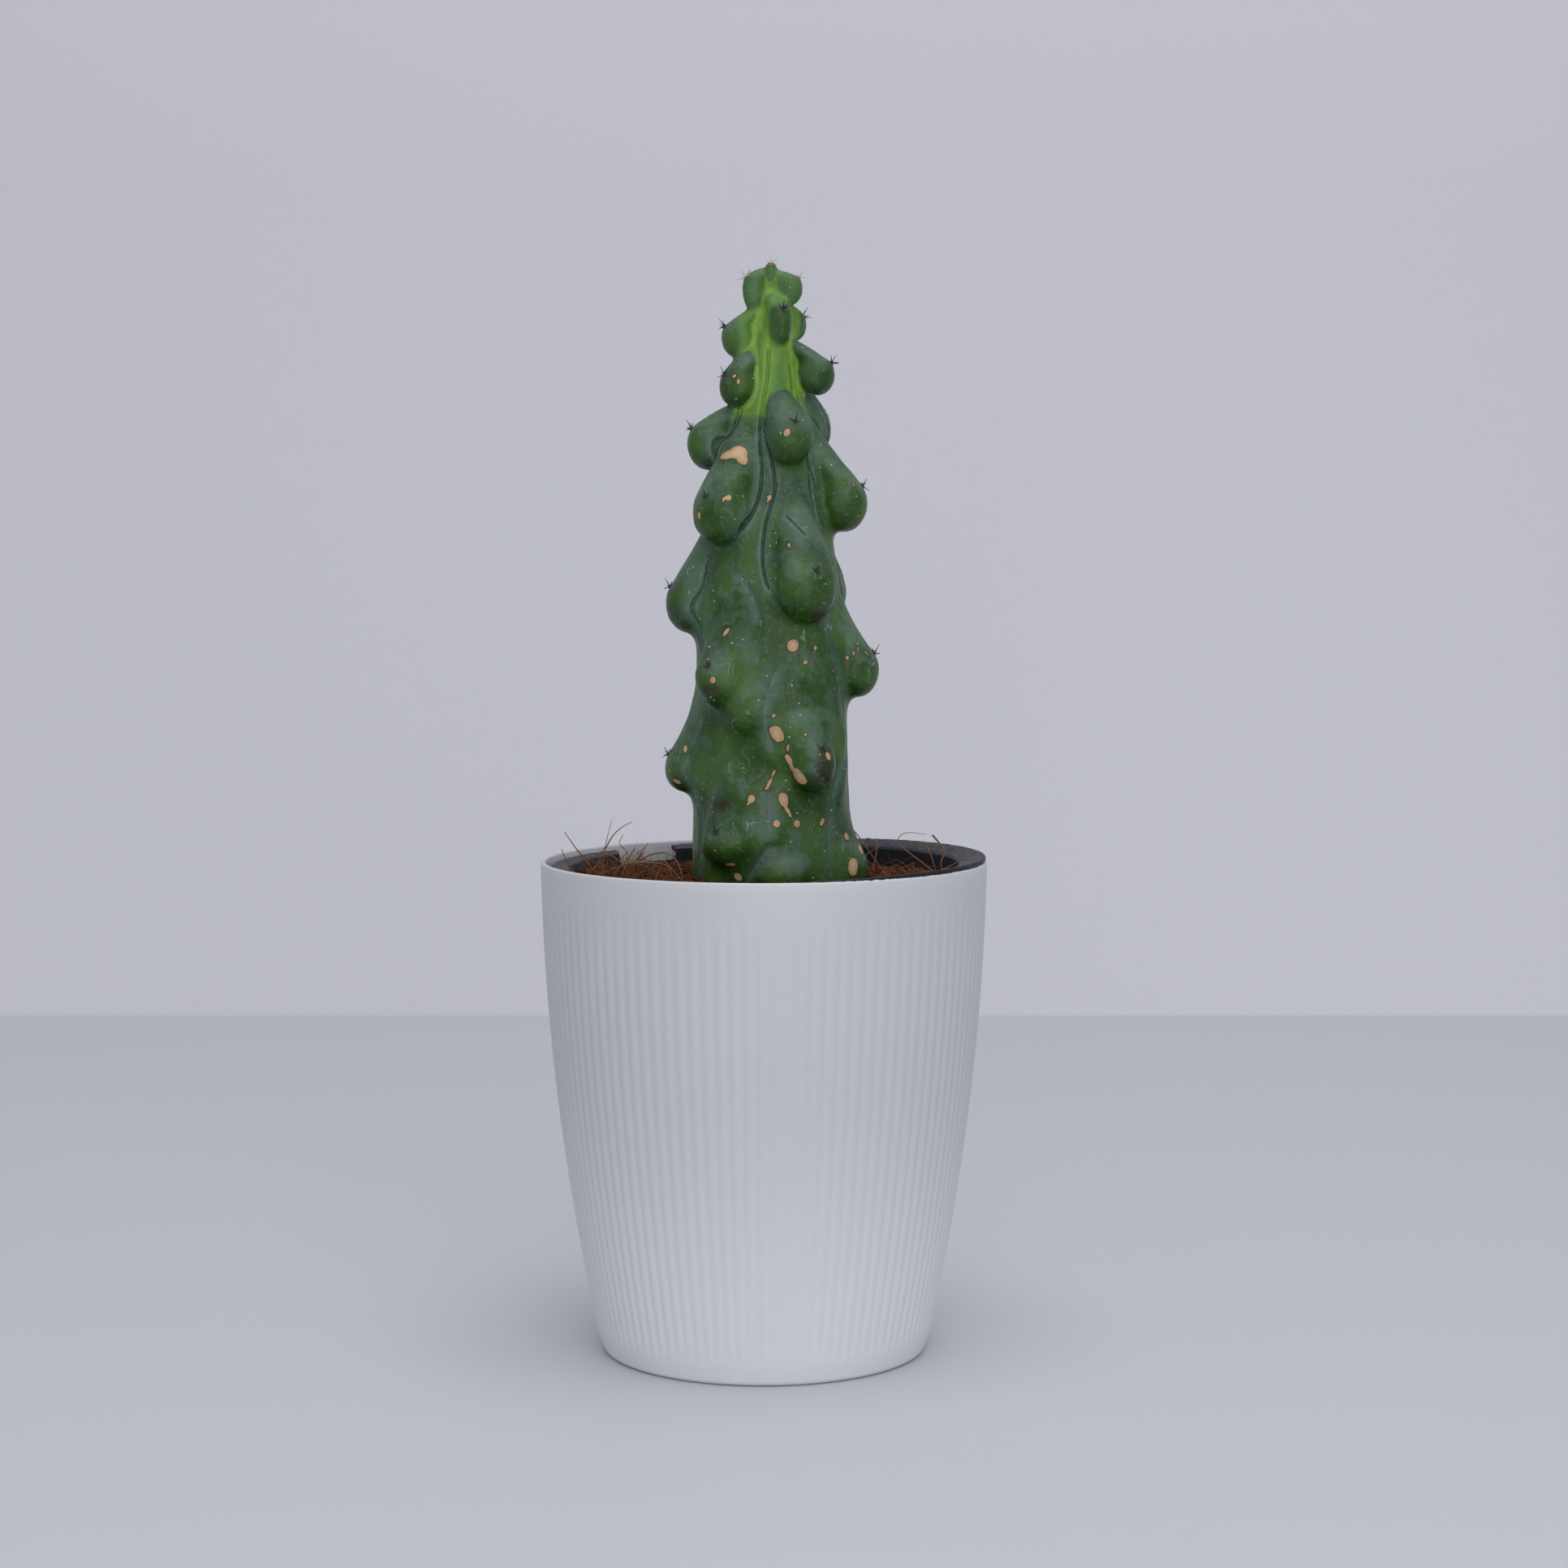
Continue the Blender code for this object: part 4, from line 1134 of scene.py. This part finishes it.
def growTuft(place, normal, old, chance):
    parts = []
    deselectAll()
    bpy.ops.mesh.primitive_ico_sphere_add(subdivisions=2, radius=1)
    pad = bpy.context.object
    wide = tuft["padWide"] * (1 if old else tuft["youngPad"])
    pad.scale = (wide * 0.8, wide, tuft["padThick"])
    parts.append(pad)
    toUp = Vector(normal).to_track_quat("Z", "Y")
    pad.rotation_euler = toUp.to_euler()
    pad.location = place
    count = chance.randint(*(tuft["oldCount"] if old else tuft["youngCount"]))
    for number in range(count):
        turn = 2 * math.pi * (number + chance.uniform(-0.3, 0.3)) / count
        spread = math.radians(chance.uniform(*tuft["spread"]) if number else tuft["middleSpread"])
        flat = math.sin(spread)
        local = Vector((math.sin(turn) * flat, math.cos(turn) * flat, math.cos(spread)))
        way = (toUp @ local + Vector((0, 0, tuft["upward"]))).normalized()
        long = tuft["longest"] * chance.uniform(*(tuft["length"] if number else tuft["middleLength"]))
        foot = tuft["spineFoot"] * (1 if old else tuft["youngFoot"])
        bpy.ops.mesh.primitive_cone_add(vertices=6, radius1=foot, radius2=tuft["spinePoint"], depth=long)
        spine = bpy.context.object
        spine.rotation_euler = way.to_track_quat("Z", "Y").to_euler()
        spine.location = Vector(place) + way * (long / 2 - tuft["buried"])
        parts.append(spine)
    return parts


def spineMaterial(name, root, tip):
    made, tree, shader = startMaterial(name, 0.5)
    reachOut = masked(tree, "reachOut")
    clouds = placed(tree, mottle, Coarse=900.0, Fine=2500.0)
    shade = mixed(tree, between(tree, reachOut, 0.12, 0.3), root, tip)
    shade = laid(tree, shade, clouds.outputs["Grain"], 0.4, (0.03, 0.02, 0.02))
    tree.links.new(shade, shader.inputs["Base Color"])
    return made


def spineTufts():
    tree = surfaceTree(plantBody)
    chance = random.Random(12)
    made = dict(old=[], young=[])
    for swellings in ribs.values():
        for swelling in swellings:
            place, normal = skinPoint(tree, swelling[0], plant["top"] - swelling[1] * mm - 0.4 * mm)
            if place is None:
                place, normal = tree.find_nearest(Vector((plant["offset"], 0, plant["top"])))[:2]
            outward = (Vector(normal) + Vector((0, 0, 0.3))).normalized()
            old = swelling[1] > tuft["oldDepth"]
            parts = growTuft(place, outward, old, chance)
            made["old" if old else "young"] += [(part, place) for part in parts]
    pieces = []
    for label, parts in made.items():
        objects = [part for part, _ in parts]
        centres = []
        for part, place in parts:
            settle(part)
            centres += [place] * len(part.data.vertices)
        pick(*objects)
        bpy.ops.object.join()
        piece = bpy.context.object
        piece.name = label + "SpineTufts"
        settle(piece)
        away = np.linalg.norm(readPoints(piece) - np.array(centres), axis=1) / tuft["longest"]
        writeMask(piece, "reachOut", away)
        piece.data.shade_smooth()
        pieces.append(piece)
    return pieces


oldTufts, youngTufts = spineTufts()
oldTufts.data.materials.append(spineMaterial("darkSpine", (0.1, 0.035, 0.035), (0.008, 0.005, 0.008)))
youngTufts.data.materials.append(spineMaterial("paleSpine", (0.42, 0.3, 0.2), (0.45, 0.24, 0.16)))
areoleNames = sorted(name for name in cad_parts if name.startswith("areole"))
for piece in (oldTufts, youngTufts):
    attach(piece, "root")
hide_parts(*areoleNames)
print("spines done")


# coir

soil = dict(
    height=pot["height"] - 5.4 * mm, bed=52.2 * mm, rings=34, sides=160,
    crumbs=1300, crumbShapes=5, hairs=1150,
    heapAt=-42 * mm, heapHigh=1.3 * mm, heapWide=13 * mm, heapLong=22 * mm,
)


def coirRed(name, dark, light):
    made, tree, shader = startMaterial(name, 0.9, 0.08)
    clouds = placed(tree, mottle, Coarse=240.0, Fine=1400.0)
    shade = mixed(tree, between(tree, clouds.outputs["Cloud"], 0.3, 0.7), dark, light)
    shade = mixed(tree, between(tree, clouds.outputs["Grain"], 0.5, 0.75), shade, (0.05, 0.02, 0.01))
    tree.links.new(shade, shader.inputs["Base Color"])
    bumpFrom(tree, shader, clouds.outputs["Grain"], 0.0004)
    return made


def soilHeight(x, y):
    spots = np.stack([np.atleast_1d(x), np.atleast_1d(y), np.zeros_like(np.atleast_1d(x))], 1)
    away = np.hypot(spots[:, 0], spots[:, 1]) / soil["bed"]
    level = soil["height"] + 0.9 * mm * lumps(spots, 14 * mm, 71) + 0.5 * mm * lumps(spots, 5 * mm, 72)
    # piled up on the left, where the long fibres lie in a heap
    across, along = (spots[:, 0] - soil["heapAt"]) / soil["heapWide"], spots[:, 1] / soil["heapLong"]
    heap = soil["heapHigh"] * np.exp(-(across**2) - along**2)
    return level + heap - 0.8 * mm * away**6


def soilBed():
    profile = [(soil["bed"] - 2 * mm, soil["height"] - 9 * mm), (soil["bed"], soil["height"] - 6 * mm)]
    for share in (i / soil["rings"] for i in range(soil["rings"] + 1)):
        profile.append((soil["bed"] * (1 - share) + 0.4 * mm * share, soil["height"]))
    bed = turnedPiece("soilBed", profile, soil["sides"])
    points = readPoints(bed)
    upper = points[:, 2] > soil["height"] - 3 * mm
    points[upper, 2] = soilHeight(points[upper, 0], points[upper, 1])
    points[upper, 2] += 0.35 * mm * lumps(points[upper], 2.1 * mm, 73)
    writePoints(bed, points)
    bed.data.shade_smooth()
    return bed


def spotOnBed(chance, low, high):
    # drawn evenly over the area between two shares of the bed's own
    away = soil["bed"] * math.sqrt(chance.uniform(low, high))
    turn = chance.uniform(0, 2 * math.pi)
    return away * math.cos(turn), away * math.sin(turn)


def scatterCrumbs():
    chance = np.random.default_rng(31)
    shapes = []
    for number in range(soil["crumbShapes"]):
        deselectAll()
        bpy.ops.mesh.primitive_ico_sphere_add(subdivisions=2, radius=1)
        lump = bpy.context.object
        points = readPoints(lump)
        points *= (1 + 0.28 * lumps(points, 1.3, 80 + number))[:, None]
        faces = np.array([list(p.vertices) for p in lump.data.polygons])
        shapes.append((points, faces))
        bpy.data.objects.remove(lump)
    allPoints, allFaces, start = [], [], 0
    for number in range(soil["crumbs"]):
        x, y = spotOnBed(chance, 0.14, 0.97)
        size = chance.uniform(0.4, 1.7) ** 1.5 * mm
        points, faces = shapes[number % soil["crumbShapes"]]
        scale = size * np.array([1, chance.uniform(0.45, 0.9), chance.uniform(0.35, 0.7)])
        spin = chance.uniform(0, 2 * math.pi)
        tilt = chance.uniform(-0.5, 0.5)
        c, s = math.cos(tilt), math.sin(tilt)
        made = (points * scale) @ np.array([[c, 0, -s], [0, 1, 0], [s, 0, c]])
        c, s = math.cos(spin), math.sin(spin)
        made = made @ np.array([[c, s, 0], [-s, c, 0], [0, 0, 1]])
        made += [x, y, float(soilHeight(x, y)[0]) + 0.15 * size]
        allPoints.append(made)
        allFaces.append(faces + start)
        start += len(made)
    data = bpy.data.meshes.new("coirCrumbs")
    data.from_pydata(np.concatenate(allPoints).tolist(), [], np.concatenate(allFaces).tolist())
    crumbs = newObject("coirCrumbs", data)
    data.shade_smooth()
    return crumbs


def fibreCurve(name, paths, thickness):
    # each path is a list of points; the fibre thins towards its end
    data = bpy.data.curves.new(name, "CURVE")
    data.dimensions = "3D"
    data.bevel_depth = thickness
    data.bevel_resolution = 1
    data.use_fill_caps = True
    for path, girth in paths:
        line = data.splines.new("POLY")
        line.points.add(len(path) - 1)
        for number, place in enumerate(path):
            line.points[number].co = (*place, 1)
            line.points[number].radius = girth * (1 - 0.65 * number / (len(path) - 1))
    pick(newObject(name, data))
    bpy.ops.object.convert(target="MESH")
    bpy.context.object.data.shade_smooth()
    return bpy.context.object


def smoothPath(points, steps=5):
    # Catmull-Rom line through the points
    points = [Vector(p) for p in points]
    ends = [2 * points[0] - points[1]] + points + [2 * points[-1] - points[-2]]
    path = []
    for a, b, c, d in zip(ends, ends[1:], ends[2:], ends[3:]):
        for i in range(steps):
            t = i / steps
            square = (2 * a - 5 * b + 4 * c - d) * t**2
            cube = (3 * b - a - 3 * c + d) * t**3
            path.append(0.5 * (2 * b + (c - a) * t + square + cube))
    return path + [points[-1]]


def looseHairs():
    chance = random.Random(44)
    paths = []
    for number in range(soil["hairs"]):
        onHeap = number % 5 < 2
        if onHeap:
            x, y = chance.gauss(-40, 7) * mm, chance.gauss(-4, 17) * mm
        else:
            x, y = spotOnBed(chance, 0.2, 0.95)
        if not 24 * mm < math.hypot(x, y) < soil["bed"]:
            continue
        heading = chance.uniform(0, 2 * math.pi)
        climb = chance.uniform(-0.05, 1.3 if onHeap else 0.7)
        z = float(soilHeight(x, y)[0])
        path = [Vector((x, y, z - 0.4 * mm))]
        step = chance.uniform(1.1, 2.4) * mm
        for _ in range(chance.randint(3, 6)):
            heading += chance.gauss(0, 0.45)
            climb += chance.gauss(-0.14, 0.3)
            way = Vector((math.cos(heading), math.sin(heading), climb)).normalized()
            place = path[-1] + way * step
            if math.hypot(place.x, place.y) > soil["bed"] - mm:
                break
            floor = float(soilHeight(place.x, place.y)[0])
            place.z = max(place.z, floor + 0.1 * mm)
            path.append(place)
        if len(path) > 2:
            paths.append((smoothPath(path, 3), chance.uniform(0.5, 1.2)))
    return fibreCurve("looseHairs", paths, 0.15 * mm)


# the long fibres that stand out of the soil, as x, y and height over the rim in mm
strands = (
    ((-44, -8, -4), (-47, -9, 0), (-50, -10, 4), (-53, -11, 8.5)),
    ((-43, -10, -4), (-42.6, -10, 2), (-41.6, -10, 7), (-40.4, -9, 11.5)),
    ((-42.4, -10, 3.5), (-40, -10, 7.5), (-37.6, -9.4, 9.6), (-35, -9, 11)),
    ((-40, -16, -4), (-37, -19, 0.5), (-30, -22, 1.4), (-25, -24, 0.6), (-20.5, -25, -4)),
    ((21, 8, 9), (24, 6, 7.6), (28, 2, 2.5), (32, -2, -3), (34, -4, -5)),
    ((20, 2, -4), (24, 2, -2), (28, 0, 1.6), (32, -1, 4.2)),
    ((28, 12, 4.5), (30.6, 11, 3.6), (30.4, 10, 0), (29.6, 9, -4)),
    ((46, -8, -3), (42, -6, 0), (37.4, -3, 3.4), (36, -2, 5.6), (38.4, -2, 7.4), (43.6, -3, 7)),
    ((43, -2, 5), (45, -3, 1), (46.4, -4, -4)),
    ((45.4, 0, 6.6), (48.4, -1, 2.6), (47.6, -2, -1), (48.4, -3, -4)),
    ((42, -14, -3.6), (48, -14, -1), (53, -15, 1.4), (56.6, -16, 2)),
    ((-9, -36, -4), (-6, -38, -3.6), (-3, -39, -4.6)),
    ((-50, -6, -4), (-52, -7, -1), (-54, -8, 3.5)),
    ((-38, 4, -4), (-37, 4, 1), (-39, 3, 4), (-38, 2, 6.5)),
    ((-46, -2, -4), (-43, -4, 1.6), (-39, -6, 0.4), (-36, -8, -3)),
    ((-36, -10, -4), (-33, -14, 1), (-27, -18, 3.6), (-23, -21, 2), (-21, -23, -3)),
    ((-46, -14, -4), (-40, -16, -1), (-33, -17, 0.5), (-26, -18, -3)),
    ((-34, -4, -4), (-33, -5, 2), (-31, -6, 5)),
    ((-38, -12, -4), (-36, -12, 1), (-34, -13, 4.4)),
    ((-48, -12, -4), (-44, -12, 0), (-41, -14, 2.6)),
    ((-30, -14, -4), (-29, -15, -0.5), (-26, -16, 1.2), (-24, -18, -3)),
)


def longFibres():
    rim = pot["height"]
    paths = []
    for number, strand in enumerate(strands):
        points = [(x * mm, y * mm, rim + z * mm) for x, y, z in strand]
        paths.append((smoothPath(points, 6), (1.25, 0.8, 1.0)[number % 3]))
    return fibreCurve("longFibres", paths, 0.24 * mm)


# the bed and crumbs have the coir's own dark red-brown, painted darker still as painted shade where the
# soil lies down inside the rim
bed, crumbs, hairs, longOnes = soilBed(), scatterCrumbs(), looseHairs(), longFibres()
for piece, paint in (
    (bed, coirRed("coirDark", (0.012, 0.004, 0.002), (0.04, 0.014, 0.007))),
    (crumbs, coirRed("coirChunk", (0.022, 0.007, 0.003), (0.145, 0.05, 0.021))),
    (hairs, plainPaint("coirHair", (0.07, 0.022, 0.009), (0.27, 0.11, 0.045), 0.7)),
    (longOnes, plainPaint("coirStrand", (0.15, 0.068, 0.03), (0.3, 0.17, 0.09), 0.65)),
):
    piece.data.materials.append(paint)
    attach(piece, "root")
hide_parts("coir_soil")
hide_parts(*sorted(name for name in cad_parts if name.startswith("coir_fibre")))
print("coir done")
